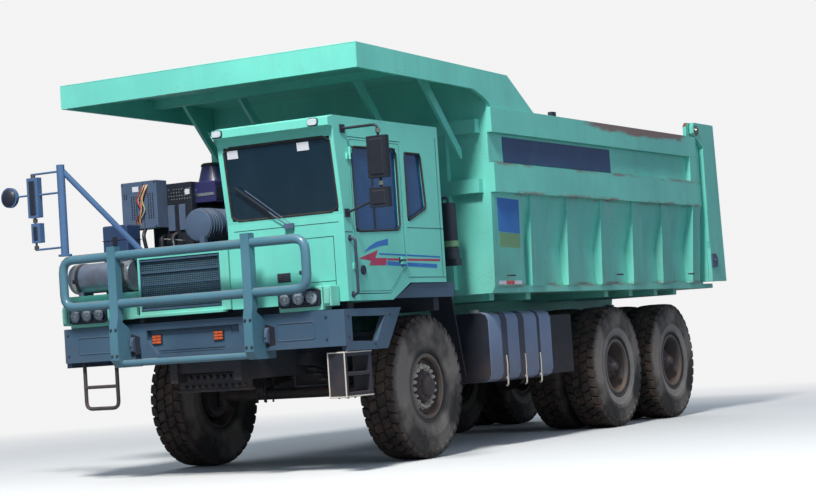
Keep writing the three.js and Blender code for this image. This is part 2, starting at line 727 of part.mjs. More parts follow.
// box frame step under the left wing, stirrup step under the right end
function leftStep() {
  const [x0, x1] = [1500, 1690];
  const [y0, y1] = [-1900, -1400];
  const [low, top] = [725, BUMPER_BOTTOM - 50 - SEAT];
  const outer = box(x0, x1, y0, y1, low, top);
  const hole = box(x0 - 5, x1 + 5, y0 + 50, y1 - 50, low + 50, top - 50);
  const tread = box(x0, x1, y0 + 20, y1 - 20, 930, 965);
  return join(cut(outer, hole), tread);
}
add("step_left", leftStep(), STEEL);

function rightStep() {
  const [x0, x1, y] = [-1440, -1030, BUMPER_FRONT + 90];
  const bottom = 740;
  const bow = bentTube(
    [V(x0, y, BUMPER_BOTTOM + 20), V(x0, y, bottom), V(x1, y, bottom), V(x1, y, BUMPER_BOTTOM + 20)],
    20,
    70,
    8,
  );
  return join(bow, rod(V(x0, y, 960), V(x1, y, 960), 18, 8));
}
add("front_bumper", bumper(), SLATE);

// ---------------------------------------------------------------- tanks and boxes
const roundedTank = (s) => {
  const r = 90;
  const shape = [
    [s * (TANK_INNER + SEAT), TANK_BOTTOM],
    [s * (TANK_OUTER - r), TANK_BOTTOM],
    [s * (TANK_OUTER - r * 0.3), TANK_BOTTOM + r * 0.3],
    [s * TANK_OUTER, TANK_BOTTOM + r],
    [s * TANK_OUTER, TANK_TOP - r],
    [s * (TANK_OUTER - r * 0.3), TANK_TOP - r * 0.3],
    [s * (TANK_OUTER - r), TANK_TOP],
    [s * (TANK_INNER + SEAT), TANK_TOP],
  ];
  return alongY(shape, TANK_FRONT, TANK_REAR);
};
add("fuel_tank_left", roundedTank(1), TANK);
add("fluid_tank_right", roundedTank(-1), TANK);
for (const [side, s] of SIDES) {
  const locker = box(
    s * (TANK_INNER + SEAT),
    s * (TANK_OUTER - 60),
    TANK_REAR + 30,
    SIDE_BOX_REAR,
    TANK_BOTTOM + 20,
    TANK_TOP - 60,
  );
  add(`locker_${side}`, locker, DARK);
}

// upright canister on a bracket behind the cab
function canister() {
  const [x, y] = [1500, 700];
  const can = rod(V(x, y, 2060), V(x, y, 2660), 82, 20);
  const band = rod(V(x, y, 2060), V(x, y, 2170), 90, 20);
  const bracket = box(x - 240, x + 90, y - 60, y + 60, 1990, 2070);
  const leg = box(x - 240, x - 170, y - 60, y + 60, FENDER_TOP + SEAT, 2000);
  const foot = box(1130, 1380, y - 90, y + 60, FENDER_TOP + SEAT, FENDER_TOP + 30);
  return join(can, band, bracket, leg, foot);
}
add("filter_canister", canister(), DARK);

// ---------------------------------------------------------------- axles and springs
const AXLE_Z = TYRE_RADIUS;
const PIN_EYE = 62;
const EYE_HALF = 108;
const SPRING_X0 = 470;
const SPRING_X1 = 570;

function leafPack(s, y, half, topZ, sag, leaves) {
  const thick = 22;
  const pieces = [];
  for (let i = 0; i < leaves; i++) {
    const reach = half * (1 - i * 0.13);
    const z = topZ - i * thick;
    const rise = sag * (1 - i * 0.13) ** 2;
    const shape = [
      [y - reach, z + rise],
      [y, z],
      [y + reach, z + rise],
      [y + reach, z + rise - thick - 1],
      [y, z - thick - 1],
      [y - reach, z + rise - thick - 1],
    ];
    pieces.push(alongX(shape, s * SPRING_X0, s * SPRING_X1));
  }
  return join(...pieces);
}

function frontAxle() {
  const beam = rod(V(-KINGPIN_X, 0, AXLE_Z), V(KINGPIN_X, 0, AXLE_Z), 58, 12);
  const pieces = [beam];
  for (const s of [1, -1]) {
    const eyeEnds = [AXLE_Z - EYE_HALF, AXLE_Z + EYE_HALF].map((z) => V(s * KINGPIN_X, 0, z));
    pieces.push(rod(...eyeEnds, PIN_EYE, 16));
    pieces.push(leafPack(s, 0, 760, AXLE_Z + 150, 190, 4));
    pieces.push(box(s * (SPRING_X0 + 10), s * (SPRING_X1 - 10), -90, 90, AXLE_Z + 20, AXLE_Z + 70));
    // spring hangers reach the rails
    for (const y of [-755, 755]) {
      const hanger = [y - 50, y + 50, AXLE_Z + 300, AXLE_Z + 420];
      pieces.push(box(s * (RAIL_INNER + RAIL_WIDTH + SEAT), s * SPRING_X1, ...hanger));
    }
  }
  return join(...pieces);
}
add("front_axle", frontAxle(), DARK);

function rearAxle(y) {
  const end = REAR_TRACK_HALF - 40;
  const tube = rod(V(-end, y, AXLE_Z), V(end, y, AXLE_Z), 105, 16);
  const bowl = new THREE.SphereGeometry(235, 16, 10).translate(0, y, AXLE_Z);
  const nose = rod(V(0, y - NOSE_LENGTH, AXLE_Z), V(0, y - 150, AXLE_Z), 95, 12);
  return join(tube, bowl, nose);
}
for (const i of [0, 1]) {
  add(`rear_axle_${i + 1}`, rearAxle(REAR_AXLE_1 + i * AXLE_SPACING), DARK);
}

function rearSprings() {
  const middle = REAR_AXLE_1 + AXLE_SPACING / 2;
  const top = AXLE_Z + 105 + SEAT;
  const pieces = [];
  for (const s of [1, -1]) {
    pieces.push(leafPack(s, middle, AXLE_SPACING / 2 + 90, top + 190, 0, 5));
    for (const k of [-1, 1]) {
      const y = middle + (k * AXLE_SPACING) / 2;
      pieces.push(box(s * SPRING_X0, s * SPRING_X1, y - 70, y + 70, top, top + 190));
    }
    const saddle = [middle - 110, middle + 110, top + 40, 1180];
    pieces.push(box(s * (RAIL_INNER + RAIL_WIDTH + SEAT), s * SPRING_X1, ...saddle));
  }
  pieces.push(rod(V(-SPRING_X0 - 20, middle, top + 30), V(SPRING_X0 + 20, middle, top + 30), 58, 12));
  return join(...pieces);
}
add("rear_springs", rearSprings(), DARK);

// ---------------------------------------------------------------- wheels
const half = TYRE_WIDTH / 2;
const crown = TYRE_RADIUS / Math.cos(Math.PI / WHEEL_SIDES);
// tyre section: [radius, x], closed
const TYRE_SECTION = [
  [RIM_RADIUS, -half * 0.78],
  [RIM_RADIUS + 200, -half],
  [crown - 75, -half * 0.98],
  [crown, -half * 0.86],
  [crown, half * 0.86],
  [crown - 75, half * 0.98],
  [RIM_RADIUS + 200, half],
  [RIM_RADIUS, half * 0.78],
  [RIM_RADIUS, -half * 0.78],
];
const tyre = (x, y) => turnedX(TYRE_SECTION).translate(x, y, AXLE_Z);

// rim with a disc at x = disc and a hub that stands out to x = hub; s is the outer side
function rim(s, x0, x1, disc, hub, bore) {
  const r = RIM_RADIUS * Math.cos(Math.PI / WHEEL_SIDES) - SEAT;
  const w = RIM_WALL;
  const section = [
    [0, bore],
    [0, hub],
    [130, hub],
    [150, hub - 40],
    [165, disc + 30],
    [r - w, disc + 24],
    [r - w, x1 - 20],
    [r - w + 6, x1],
    [r, x1],
    [r, x0],
    [r - w, x0],
    [r - w, disc],
    [165, disc],
    [165, bore],
    [0, bore],
  ].map(([radius, x]) => [radius, s * x]);
  return turnedX(section, RIM_SIDES);
}

const FRONT_OFFSET = FRONT_TRACK_HALF - KINGPIN_X;
const YOKE_OUTER = 120;
const YOKE_PLATE = 45;
for (const [side, s] of SIDES) {
  // steering knuckle: a yoke round the axle eye and a drum
  const knuckleGroup = new THREE.Group();
  knuckleGroup.position.set(s * KINGPIN_X, 0, AXLE_Z);
  group.add(knuckleGroup);
  const yokeHeight = EYE_HALF + SEAT;
  const plates = [1, -1].map((k) =>
    box(s * -PIN_EYE, s * YOKE_OUTER, -60, 60, k * yokeHeight, k * (yokeHeight + YOKE_PLATE)),
  );
  const yokeTop = yokeHeight + YOKE_PLATE;
  const back = box(s * (PIN_EYE + RUN), s * YOKE_OUTER, -60, 60, -yokeTop, yokeTop);
  const drum = rod(V(s * (YOKE_OUTER - 5), 0, 0), V(s * (FRONT_OFFSET + 20), 0, 0), 225, 24);
  add(`knuckle_${side}`, join(...plates, back, drum), DARK, knuckleGroup);

  const frontRim = rim(s, -half * 0.78 - 15, half * 0.78 + 15, 75, 235, 20 + 0.5);
  add(`wheel_front_${side}_rim`, frontRim.translate(s * FRONT_OFFSET, 0, 0), RIM, knuckleGroup);
  add(`wheel_front_${side}_tyre`, tyre(s * FRONT_TRACK_HALF, 0), RUBBER);

  for (const i of [0, 1]) {
    const y = REAR_AXLE_1 + i * AXLE_SPACING;
    const name = `wheel_rear_${i + 1}_${side}`;
    const reach = TWIN_SPACING / 2 + half * 0.78 + 15;
    const twinRim = rim(s, -reach, reach, 30, 330, -40 + 0.5);
    add(`${name}_rim`, twinRim.translate(s * REAR_TRACK_HALF, y, AXLE_Z), RIM);
    add(`${name}_outer_tyre`, tyre(s * (REAR_TRACK_HALF + TWIN_SPACING / 2), y), RUBBER);
    add(`${name}_inner_tyre`, tyre(s * (REAR_TRACK_HALF - TWIN_SPACING / 2), y), RUBBER);
  }
}

// ---------------------------------------------------------------- dump body
const FLOOR_TOP = BODY_BOTTOM + FLOOR_THICK;
const SIDE_INNER_LOW = BODY_HALF - 237;
const SIDE_INNER_TOP = BODY_HALF - 114;
const LEDGE_LOW = 2769;
const LEDGE_TOP = 3086;
const RAIL_LOW = 3418;
const RIB_OUTER_LOW = BODY_HALF - 99;
const RIB_OUTER_TOP = BODY_HALF - 59;
const SIDE_PLATE = BODY_HALF - 64; // outer face of the side plate by the rails
const SIDE_FOOT = BODY_HALF - 194; // foot of the ribs
const CHEEK_INNER = BODY_HALF - 53; // inner face of the tailgate cheeks

// Side section: [x, z] with the lower rail, the leaning plate, the ledge and the top rail.
const sideSection = (s) =>
  [
    [SIDE_INNER_LOW, BODY_BOTTOM],
    [BODY_HALF - 124, BODY_BOTTOM],
    [BODY_HALF - 124, BODY_BOTTOM + 75],
    [BODY_HALF - 177, BODY_BOTTOM + 75],
    [BODY_HALF - 189, 2190],
    [BODY_HALF - 74, LEDGE_LOW],
    [BODY_HALF, LEDGE_LOW],
    [BODY_HALF, LEDGE_TOP],
    [SIDE_PLATE, LEDGE_TOP],
    [SIDE_PLATE, RAIL_LOW],
    [BODY_HALF, RAIL_LOW],
    [BODY_HALF, BODY_TOP],
    [SIDE_INNER_TOP, BODY_TOP],
    [SIDE_INNER_TOP, BODY_TOP - 90],
    [SIDE_INNER_LOW, FLOOR_TOP + 60],
  ].map(([x, z]) => [s * x, z]);

function bodySide(s) {
  const front = BODY_FRONT + FRONT_WALL + SEAT;
  const pieces = [alongY(sideSection(s), front, BODY_REAR)];
  const ribSection = (topX, lowX) =>
    [
      [SIDE_FOOT, BODY_BOTTOM + 70],
      [lowX, BODY_BOTTOM + 70],
      [topX, LEDGE_LOW + 5],
      [BODY_HALF - 129, LEDGE_LOW + 5],
      [SIDE_FOOT, 2190],
    ].map(([x, z]) => [s * x, z]);
  for (let i = 0; i < RIB_COUNT; i++) {
    const y = RIB_FIRST + i * RIB_PITCH;
    pieces.push(alongY(ribSection(RIB_OUTER_TOP, RIB_OUTER_LOW), y, y + RIB_WIDTH));
  }
  // front corner panel and rear post
  pieces.push(alongY(ribSection(RIB_OUTER_TOP, BODY_HALF - 84), front, 1880));
  const post = [
    [SIDE_FOOT, BODY_BOTTOM + 70],
    [BODY_HALF - 74, BODY_BOTTOM + 70],
    [BODY_HALF - 2, LEDGE_LOW],
    [BODY_HALF - 2, RAIL_LOW + 5],
    [BODY_HALF - 109, RAIL_LOW + 5],
    [SIDE_FOOT, 2190],
  ].map(([x, z]) => [s * x, z]);
  pieces.push(alongY(post, 6830, 7080));
  // ear with the tailgate pin
  const ear = [
    [6930, BODY_TOP - 40],
    [7290, BODY_TOP - 40],
    [7290, TAILGATE_HINGE_Z + 40],
    [7230, TAILGATE_HINGE_Z + 105],
    [6985, TAILGATE_HINGE_Z + 105],
    [6930, TAILGATE_HINGE_Z + 50],
  ];
  pieces.push(alongX(ear, s * (BODY_HALF - 109), s * SIDE_PLATE));
  const pin = rod(
    V(s * (SIDE_PLATE - 5), TAILGATE_HINGE_Y, TAILGATE_HINGE_Z),
    V(s * (BODY_HALF - 1), TAILGATE_HINGE_Y, TAILGATE_HINGE_Z),
    TAILGATE_PIN,
    PIN_SIDES,
  );
  return join(
    cut(
      join(...pieces),
      box(
        s * (CHEEK_INNER - RUN),
        s * (BODY_HALF + 10),
        7080,
        BODY_REAR + 10,
        BODY_BOTTOM + 300,
        BODY_TOP + 10,
      ),
    ),
    pin,
  );
}
for (const [side, s] of SIDES) add(`body_side_${side}`, bodySide(s), MINT);

function bodyFloor() {
  const x = SIDE_INNER_LOW - SEAT;
  const plate = box(-x, x, BODY_FRONT + FRONT_WALL + SEAT, FLOOR_REAR, BODY_BOTTOM, FLOOR_TOP);
  const beamTop = BODY_BOTTOM + 5;
  const beamLow = RAIL_TOP + BEAM_GAP;
  const pieces = [plate];
  for (const s of [1, -1]) {
    const beam = [
      [BODY_FRONT + 80, beamTop],
      [BODY_FRONT + 80, beamLow + 120],
      [BODY_FRONT + 260, beamLow],
      [PIVOT_Y + 50, beamLow],
      [PIVOT_Y + 105, PIVOT_Z - 10],
      [PIVOT_Y + 180, beamTop],
    ];
    pieces.push(alongX(beam, s * RAIL_INNER, s * (RAIL_INNER + RAIL_WIDTH)));
  }
  for (const y of [1400, 2300, 4450, 5200, 6000, 6650]) {
    pieces.push(box(52 - SIDE_INNER_LOW, SIDE_INNER_LOW - 52, y, y + 110, BODY_BOTTOM - 75, beamTop));
  }
  // beam and lugs for the hoist's top pin
  for (const s of [1, -1]) {
    const lug = [
      [HOIST_TOP_Y - 70, beamTop],
      [HOIST_TOP_Y - 60, HOIST_TOP_Z - 55],
      [HOIST_TOP_Y + 60, HOIST_TOP_Z - 55],
      [HOIST_TOP_Y + 70, beamTop],
    ];
    pieces.push(alongX(lug, s * (HOIST_HEAD + RUN - 1), s * (RAIL_INNER + 5)));
  }
  const hole = rod(V(-600, PIVOT_Y, PIVOT_Z), V(600, PIVOT_Y, PIVOT_Z), boreFor(PIVOT_PIN), PIN_SIDES);
  return cut(join(...pieces), hole);
}
add("body_floor", bodyFloor(), MINT);

function bodyFrontWall() {
  const [y0, y1] = [BODY_FRONT, BODY_FRONT + FRONT_WALL];
  const contour = [];
  for (const s of [1, -1]) {
    const edge = [
      [BODY_HALF - 124, BODY_BOTTOM],
      [BODY_HALF - 84, BODY_BOTTOM + 75],
      [RIB_OUTER_TOP, LEDGE_LOW],
      [BODY_HALF, LEDGE_LOW],
      [BODY_HALF, LEDGE_TOP],
      [RIB_OUTER_TOP, LEDGE_TOP],
      [RIB_OUTER_TOP, RAIL_LOW],
      [BODY_HALF, RAIL_LOW],
      [BODY_HALF, BODY_TOP],
    ].map(([x, z]) => [s * x, z]);
    contour.push(...(s > 0 ? edge : edge.reverse()));
  }
  const wall = alongY(contour, y0, y1);
  const pieces = [wall];
  for (const x of [-1250, -750, -250, 250, 750, 1250]) {
    pieces.push(box(x - 60, x + 60, y0 - 70, y0 + 5, BODY_BOTTOM + 60, BODY_TOP - 120));
  }
  for (const z of [LEDGE_LOW, RAIL_LOW]) {
    pieces.push(box(149 - BODY_HALF, BODY_HALF - 149, y0 - 95, y0 + 5, z, z + 150));
  }
  return join(...pieces);
}
add("body_front_wall", bodyFrontWall(), MINT);

// Canopy: a top plate with side skirts and a front lip, carried by the front wall and the rails.
function canopy() {
  const drop = (y) =>
    CANOPY_TOP_FRONT +
    ((CANOPY_TOP_REAR - CANOPY_TOP_FRONT) * (y - CANOPY_FRONT)) / (CANOPY_REAR - CANOPY_FRONT);
  const railZ = BODY_TOP + SEAT;
  const slopeEnd = 2260;
  const p = CANOPY_PLATE;
  const pieces = [];
  const plate = [
    [CANOPY_FRONT, CANOPY_TOP_FRONT],
    [CANOPY_FRONT, CANOPY_TOP_FRONT - p],
    [CANOPY_REAR - 8, CANOPY_TOP_REAR - p],
    [CANOPY_REAR, CANOPY_TOP_REAR],
  ];
  pieces.push(alongX(plate, -CANOPY_HALF, CANOPY_HALF));
  for (const s of [1, -1]) {
    const skirt = [
      [CANOPY_FRONT, CANOPY_TOP_FRONT],
      [CANOPY_FRONT, CANOPY_TOP_FRONT - CANOPY_LIP],
      [820, drop(820) - CANOPY_LIP + 20],
      [1040, 3795],
      [1160, 3740],
      [BODY_FRONT + 60, railZ],
      [slopeEnd, railZ],
      [CANOPY_REAR, CANOPY_TOP_REAR],
    ];
    pieces.push(alongX(skirt, s * (CANOPY_HALF - 40), s * CANOPY_HALF));
    // gussets down the front wall
    for (const x of [1500, 750]) {
      const gusset = [
        [250, drop(250) - p + 2],
        [BODY_FRONT - 100 - SEAT, 3250],
        [BODY_FRONT - 100 - SEAT, 3150],
        [BODY_FRONT - 130, 3150],
        [100, drop(100) - p + 2],
      ];
      pieces.push(alongX(gusset, s * x - 20, s * x + 20));
    }
  }
  // front lip, inner cross ribs and the wall that closes the back of the canopy on the front wall
  const lip = [CANOPY_FRONT, CANOPY_FRONT + 30, CANOPY_TOP_FRONT - CANOPY_LIP, CANOPY_TOP_FRONT - 5];
  pieces.push(box(-CANOPY_HALF, CANOPY_HALF, ...lip));
  for (const y of [-800, 0]) {
    const z = drop(y) - p + 2;
    pieces.push(box(-CANOPY_HALF + 20, CANOPY_HALF - 20, y, y + 90, z - 95, z + 3));
  }
  const closing = [BODY_FRONT, BODY_FRONT + 50, railZ, drop(BODY_FRONT + 50) - p + 5];
  pieces.push(box(-CANOPY_HALF + 20, CANOPY_HALF - 20, ...closing));
  return join(...pieces);
}
add("canopy", canopy(), MINT);

// Tailgate: a ribbed panel hung from two arms.
function tailgate() {
  const face = [TAILGATE_FRONT, TAILGATE_FRONT + 50, FLOOR_TOP + 20, 3600];
  const panel = box(69 - BODY_HALF, BODY_HALF - 69, ...face);
  const pieces = [panel];
  const rearAt = (z) => 7870 + ((7760 - 7870) * (z - 1790)) / (3885 - 1790);
  for (const s of [1, -1]) {
    const cheek = [
      [TAILGATE_FRONT + 20, FLOOR_TOP + 20],
      [rearAt(FLOOR_TOP + 20), FLOOR_TOP + 20],
      [rearAt(TAILGATE_HINGE_Z + 105), TAILGATE_HINGE_Z + 105],
      [TAILGATE_HINGE_Y - 55, TAILGATE_HINGE_Z + 105],
      [TAILGATE_HINGE_Y - 90, TAILGATE_HINGE_Z + 50],
      [TAILGATE_HINGE_Y - 88, TAILGATE_HINGE_Z - 35],
      [TAILGATE_HINGE_Y - 30, TAILGATE_HINGE_Z - 88],
      [TAILGATE_FRONT - 5, TAILGATE_HINGE_Z - 220],
      [TAILGATE_FRONT - 5, 2300],
      [TAILGATE_FRONT + 20, 2200],
    ];
    pieces.push(alongX(cheek, s * CHEEK_INNER, s * BODY_HALF));
    const web = [TAILGATE_FRONT, TAILGATE_FRONT + 300, FLOOR_TOP + 20, 3600];
    pieces.push(box(s * (BODY_HALF - 109), s * (CHEEK_INNER + 4), ...web));
  }
  for (const x of [-1150, -575, 0, 575, 1150]) {
    const rib = [
      [TAILGATE_FRONT + 40, FLOOR_TOP + 40],
      [TAILGATE_FRONT + 260, FLOOR_TOP + 40],
      [TAILGATE_FRONT + 210, 3580],
      [TAILGATE_FRONT + 40, 3580],
    ];
    pieces.push(alongX(rib, x - 70, x + 70));
  }
  for (const z of [FLOOR_TOP + 20, 2480, 3100, 3480]) {
    const bar = [TAILGATE_FRONT + 40, TAILGATE_FRONT + 200, z, z + 120];
    pieces.push(box(99 - BODY_HALF, BODY_HALF - 99, ...bar));
  }
  const hole = rod(
    V(-BODY_HALF - 151, TAILGATE_HINGE_Y, TAILGATE_HINGE_Z),
    V(BODY_HALF + 151, TAILGATE_HINGE_Y, TAILGATE_HINGE_Z),
    boreFor(TAILGATE_PIN),
    PIN_SIDES,
  );
  return cut(join(...pieces), hole);
}
add("tailgate", tailgate(), MINT);

// ---------------------------------------------------------------- hoist
function hoist() {
  const base = V(0, HOIST_BASE_Y, HOIST_BASE_Z);
  const top = V(0, HOIST_TOP_Y, HOIST_TOP_Z);
  const along = top.clone().sub(base);
  const length = along.length();
  along.normalize();
  const at = (d) => base.clone().addScaledVector(along, d);
  const eye = 70;
  const barrel = cut(
    join(
      rod(at(60), at(length - 170), HOIST_RADIUS, 20),
      rod(V(-HOIST_RADIUS, base.y, base.z), V(HOIST_RADIUS, base.y, base.z), eye, 20),
      box(-HOIST_RADIUS, HOIST_RADIUS, base.y - 20, base.y + 95, base.z - 45, base.z + 70),
    ),
    rod(V(-300, base.y, base.z), V(300, base.y, base.z), boreFor(HOIST_PIN), PIN_SIDES),
    rod(at(190), at(length), HOIST_RADIUS - 25, 20),
  );
  add("hoist_barrel", barrel, DARK);
  const stage1 = cut(
    rod(at(200), at(length - 130), HOIST_RADIUS - 26, 20),
    rod(at(230), at(length), HOIST_RADIUS - 45, 20),
  );
  add("hoist_stage_1", stage1, STEEL);
  const stage2 = join(
    rod(at(240), at(length - 30), HOIST_RADIUS - 46, 20),
    rod(V(-HOIST_HEAD, top.y, top.z), V(HOIST_HEAD, top.y, top.z), 55, 20),
  );
  add("hoist_stage_2", stage2, STEEL);
}
hoist();

// The origin lies under the middle of the truck's length.
group.updateMatrixWorld(true);
const extent = new THREE.Box3().setFromObject(group);
group.position.y = -(extent.min.y + extent.max.y) / 2;

export default group;
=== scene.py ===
import json
import math
import random

import bmesh
import bpy
from mathutils import Matrix, Vector
from mathutils.bvhtree import BVHTree

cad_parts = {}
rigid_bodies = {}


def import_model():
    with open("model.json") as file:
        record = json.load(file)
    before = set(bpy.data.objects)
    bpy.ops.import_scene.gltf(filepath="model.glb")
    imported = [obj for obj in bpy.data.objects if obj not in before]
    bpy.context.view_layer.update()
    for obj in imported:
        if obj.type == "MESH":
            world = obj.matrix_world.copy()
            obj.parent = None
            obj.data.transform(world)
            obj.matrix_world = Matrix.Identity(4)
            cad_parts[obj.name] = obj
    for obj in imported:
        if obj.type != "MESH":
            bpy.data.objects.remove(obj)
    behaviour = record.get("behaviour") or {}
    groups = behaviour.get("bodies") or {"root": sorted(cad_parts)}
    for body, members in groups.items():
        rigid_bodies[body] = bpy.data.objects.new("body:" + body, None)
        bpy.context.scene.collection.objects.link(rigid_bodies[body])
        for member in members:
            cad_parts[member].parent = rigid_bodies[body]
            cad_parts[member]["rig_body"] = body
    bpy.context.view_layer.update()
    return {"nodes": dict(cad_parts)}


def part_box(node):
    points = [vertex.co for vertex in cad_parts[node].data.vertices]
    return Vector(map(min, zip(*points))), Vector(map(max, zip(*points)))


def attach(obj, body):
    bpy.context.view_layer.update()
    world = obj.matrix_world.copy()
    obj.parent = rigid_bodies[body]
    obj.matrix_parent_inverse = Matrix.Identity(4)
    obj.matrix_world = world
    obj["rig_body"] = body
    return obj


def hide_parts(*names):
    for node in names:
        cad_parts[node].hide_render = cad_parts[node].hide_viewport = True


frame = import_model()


# ---------------------------------------------------------------- places taken from the CAD frame
def middle(node):
    low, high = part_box(node)
    return (low + high) / 2


AXLE_Y = middle("wheel_front_left_tyre").y
TYRE_LOW, TYRE_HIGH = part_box("wheel_front_left_tyre")
TYRE_R = TYRE_HIGH.z / 2
TYRE_HALF = (TYRE_HIGH.x - TYRE_LOW.x) / 2
CAB_LOW, CAB_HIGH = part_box("cab_shell")
CAB_X0 = CAB_LOW.x
CAB_X1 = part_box("cab_door")[1].x - 0.028
CAB_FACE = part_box("grille_housing")[1].y - 0.095
BODY_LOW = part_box("body_side_left")[0]
BODY_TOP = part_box("body_front_wall")[1].z
LEDGE_LOW = BODY_TOP - 0.921
LEDGE_TOP = BODY_TOP - 0.604
SIDE_EDGES = (BODY_LOW.z + 0.08, LEDGE_LOW, LEDGE_TOP)
BUMPER_LOW, BUMPER_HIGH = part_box("front_bumper")
BAR_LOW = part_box("bull_bar")[0]
FRONT = (0, -1, 0)
REAR = (0, 1, 0)
LEFT = (1, 0, 0)
UP = (0, 0, 1)


def at(x, y, z):
    """A point whose Y is counted back from the front axle."""
    return Vector((x, AXLE_Y + y, z))


def behind(points):
    """An outline of (Y, Z) points whose Y is counted back from the front axle."""
    return [(AXLE_Y + y, z) for y, z in points]


# ---------------------------------------------------------------- finishes
def linear(colour):
    """Screen colour 0 to 255 as linear light."""
    return [((c / 255 + 0.055) / 1.055) ** 2.4 if c > 10 else c / 255 / 12.92 for c in colour]


DUST = (150, 118, 92)
RUST = (122, 66, 44)
PRIMER = (138, 76, 70)
MINT = (118, 217, 199)
MINT_FADED = (106, 200, 186)
SLATE = (57, 84, 107)
SLATE_FADED = (69, 98, 121)


class Graph:
    """Short calls for the nodes of one material, a new one or one that is there."""

    def __init__(self, name, material=None):
        self.material = material or bpy.data.materials.new(name)
        self.material.use_nodes = True
        self.tree = self.material.node_tree
        self.shader = self.tree.nodes["Principled BSDF"]
        self.place = self.node("TexCoord", {})["Object"]

    def put(self, target, value):
        if isinstance(value, bpy.types.NodeSocket):
            self.tree.links.new(value, target)
        elif isinstance(value, (list, tuple)) and len(value) == 3 and target.type == "RGBA":
            target.default_value = (*value, 1)
        else:
            target.default_value = value

    def node(self, kind, inputs, **settings):
        """A new node with its inputs, by name or number, set to values or linked; gives its outputs."""
        made = self.tree.nodes.new("ShaderNode" + kind)
        for key, value in settings.items():
            setattr(made, key, value)
        for key, value in inputs.items():
            self.put(made.inputs[key], value)
        return made.outputs

    def finish(self, **inputs):
        """Sets the shader's inputs, such as base_color, and gives the material."""
        for key, value in inputs.items():
            self.put(self.shader.inputs[key.replace("_", " ").title()], value)
        return self.material

    def noise(self, scale, detail=4, stretch=(1, 1, 1), rough=0.55):
        where = self.place
        if stretch != (1, 1, 1):
            where = self.node("Mapping", {"Vector": where, "Scale": stretch})["Vector"]
        inputs = {"Vector": where, "Scale": scale, "Detail": detail, "Roughness": rough}
        return self.node("TexNoise", inputs)["Fac"]

    def cells(self, scale):
        return self.node("TexVoronoi", {"Vector": self.place, "Scale": scale})["Distance"]

    def ramp(self, value, low, high, out_low=0.0, out_high=1.0):
        inputs = {"Value": value, "From Min": low, "From Max": high, "To Min": out_low, "To Max": out_high}
        return self.node("MapRange", inputs)["Result"]

    def math(self, kind, a, b=0.0):
        return self.node("Math", {0: a, 1: b}, operation=kind)["Value"]

    def mix(self, amount, a, b):
        return self.node("Mix", {"Factor": amount, 6: a, 7: b}, data_type="RGBA")[2]

    def axis(self, name):
        return self.node("SeparateXYZ", {0: self.place})[name]

    def upward(self):
        """How far the surface looks up, from -1 to 1."""
        return self.node("SeparateXYZ", {0: self.node("TexCoord", {})["Normal"]})["Z"]

    def bump(self, height, strength, distance=0.004):
        return self.node("Bump", {"Strength": strength, "Distance": distance, "Height": height})["Normal"]


def paint(name, base, faded, rough=0.42, metal=0.0, dust=0.5, dust_top=1.5, chips=0.25,
          chip=RUST, coat=0.15, patch=0.9, streak=0.25, top_dust=0.35, grain=55):
    """Paint or bare metal: cloudy fading, run-down streaks, low dust, dust on top faces, small chips."""
    g = Graph(name)
    base, faded, chip, earth = linear(base), linear(faded), linear(chip), linear(DUST)
    colour = g.mix(g.ramp(g.noise(patch, 5), 0.36, 0.66), base, faded)
    runs = g.ramp(g.noise(5.5, 3, (1, 1, 0.09)), 0.5, 0.78, 0.0, streak)
    colour = g.mix(runs, colour, [c * 0.55 + d * 0.18 for c, d in zip(base, earth)])
    fine = g.noise(grain, 5, rough=0.65)
    spots = g.ramp(g.math("MULTIPLY", fine, g.ramp(g.noise(2.7, 4), 0.42, 0.62)), 0.56, 0.6, 0, chips)
    colour = g.mix(spots, colour, chip)
    height = g.ramp(g.axis("Z"), dust_top, dust_top - 1.25)
    low = g.math("MULTIPLY", height, g.ramp(g.noise(3.3, 6), 0.3, 0.62))
    upward = g.upward()
    facing = g.ramp(upward, 0.45, 0.95, 0.0, top_dust)
    lying = g.math("MULTIPLY", facing, g.ramp(g.noise(6.0, 6), 0.35, 0.65))
    dirt = g.math("MINIMUM", g.math("ADD", g.math("MULTIPLY", low, dust), lying), 1.0)
    shine = g.math("ADD", g.ramp(fine, 0.3, 0.7, rough - 0.06, rough + 0.1), g.math("MULTIPLY", dirt, 0.4))
    shine = g.math("ADD", shine, g.math("MULTIPLY", spots, 0.35))
    waves = g.math("ADD", g.noise(2.2, 3), g.math("MULTIPLY", fine, 0.22))
    return g.finish(base_color=g.mix(dirt, colour, earth), metallic=metal, normal=g.bump(waves, 0.25),
                    roughness=g.math("ADD", shine, g.ramp(upward, 0.45, 0.95, 0.0, 0.28)),
                    coat_weight=g.ramp(upward, 0.45, 0.9, coat, 0.0), coat_roughness=0.18)


def glass_finish(name, tint, alpha, rough=0.04):
    """Dark cab glass with light smears."""
    g = Graph(name)
    tint = linear(tint)
    smear = g.ramp(g.noise(3.0, 5, (1, 1, 0.4)), 0.45, 0.75)
    return g.finish(base_color=g.mix(g.math("MULTIPLY", smear, 0.12), tint, [c * 2 + 0.02 for c in tint]),
                    roughness=g.ramp(smear, 0, 1, rough, rough + 0.12),
                    alpha=g.ramp(smear, 0, 1, alpha, min(1, alpha + 0.12)),
                    normal=g.bump(g.noise(0.8, 2), 0.05), coat_weight=0.6, coat_roughness=0.03)


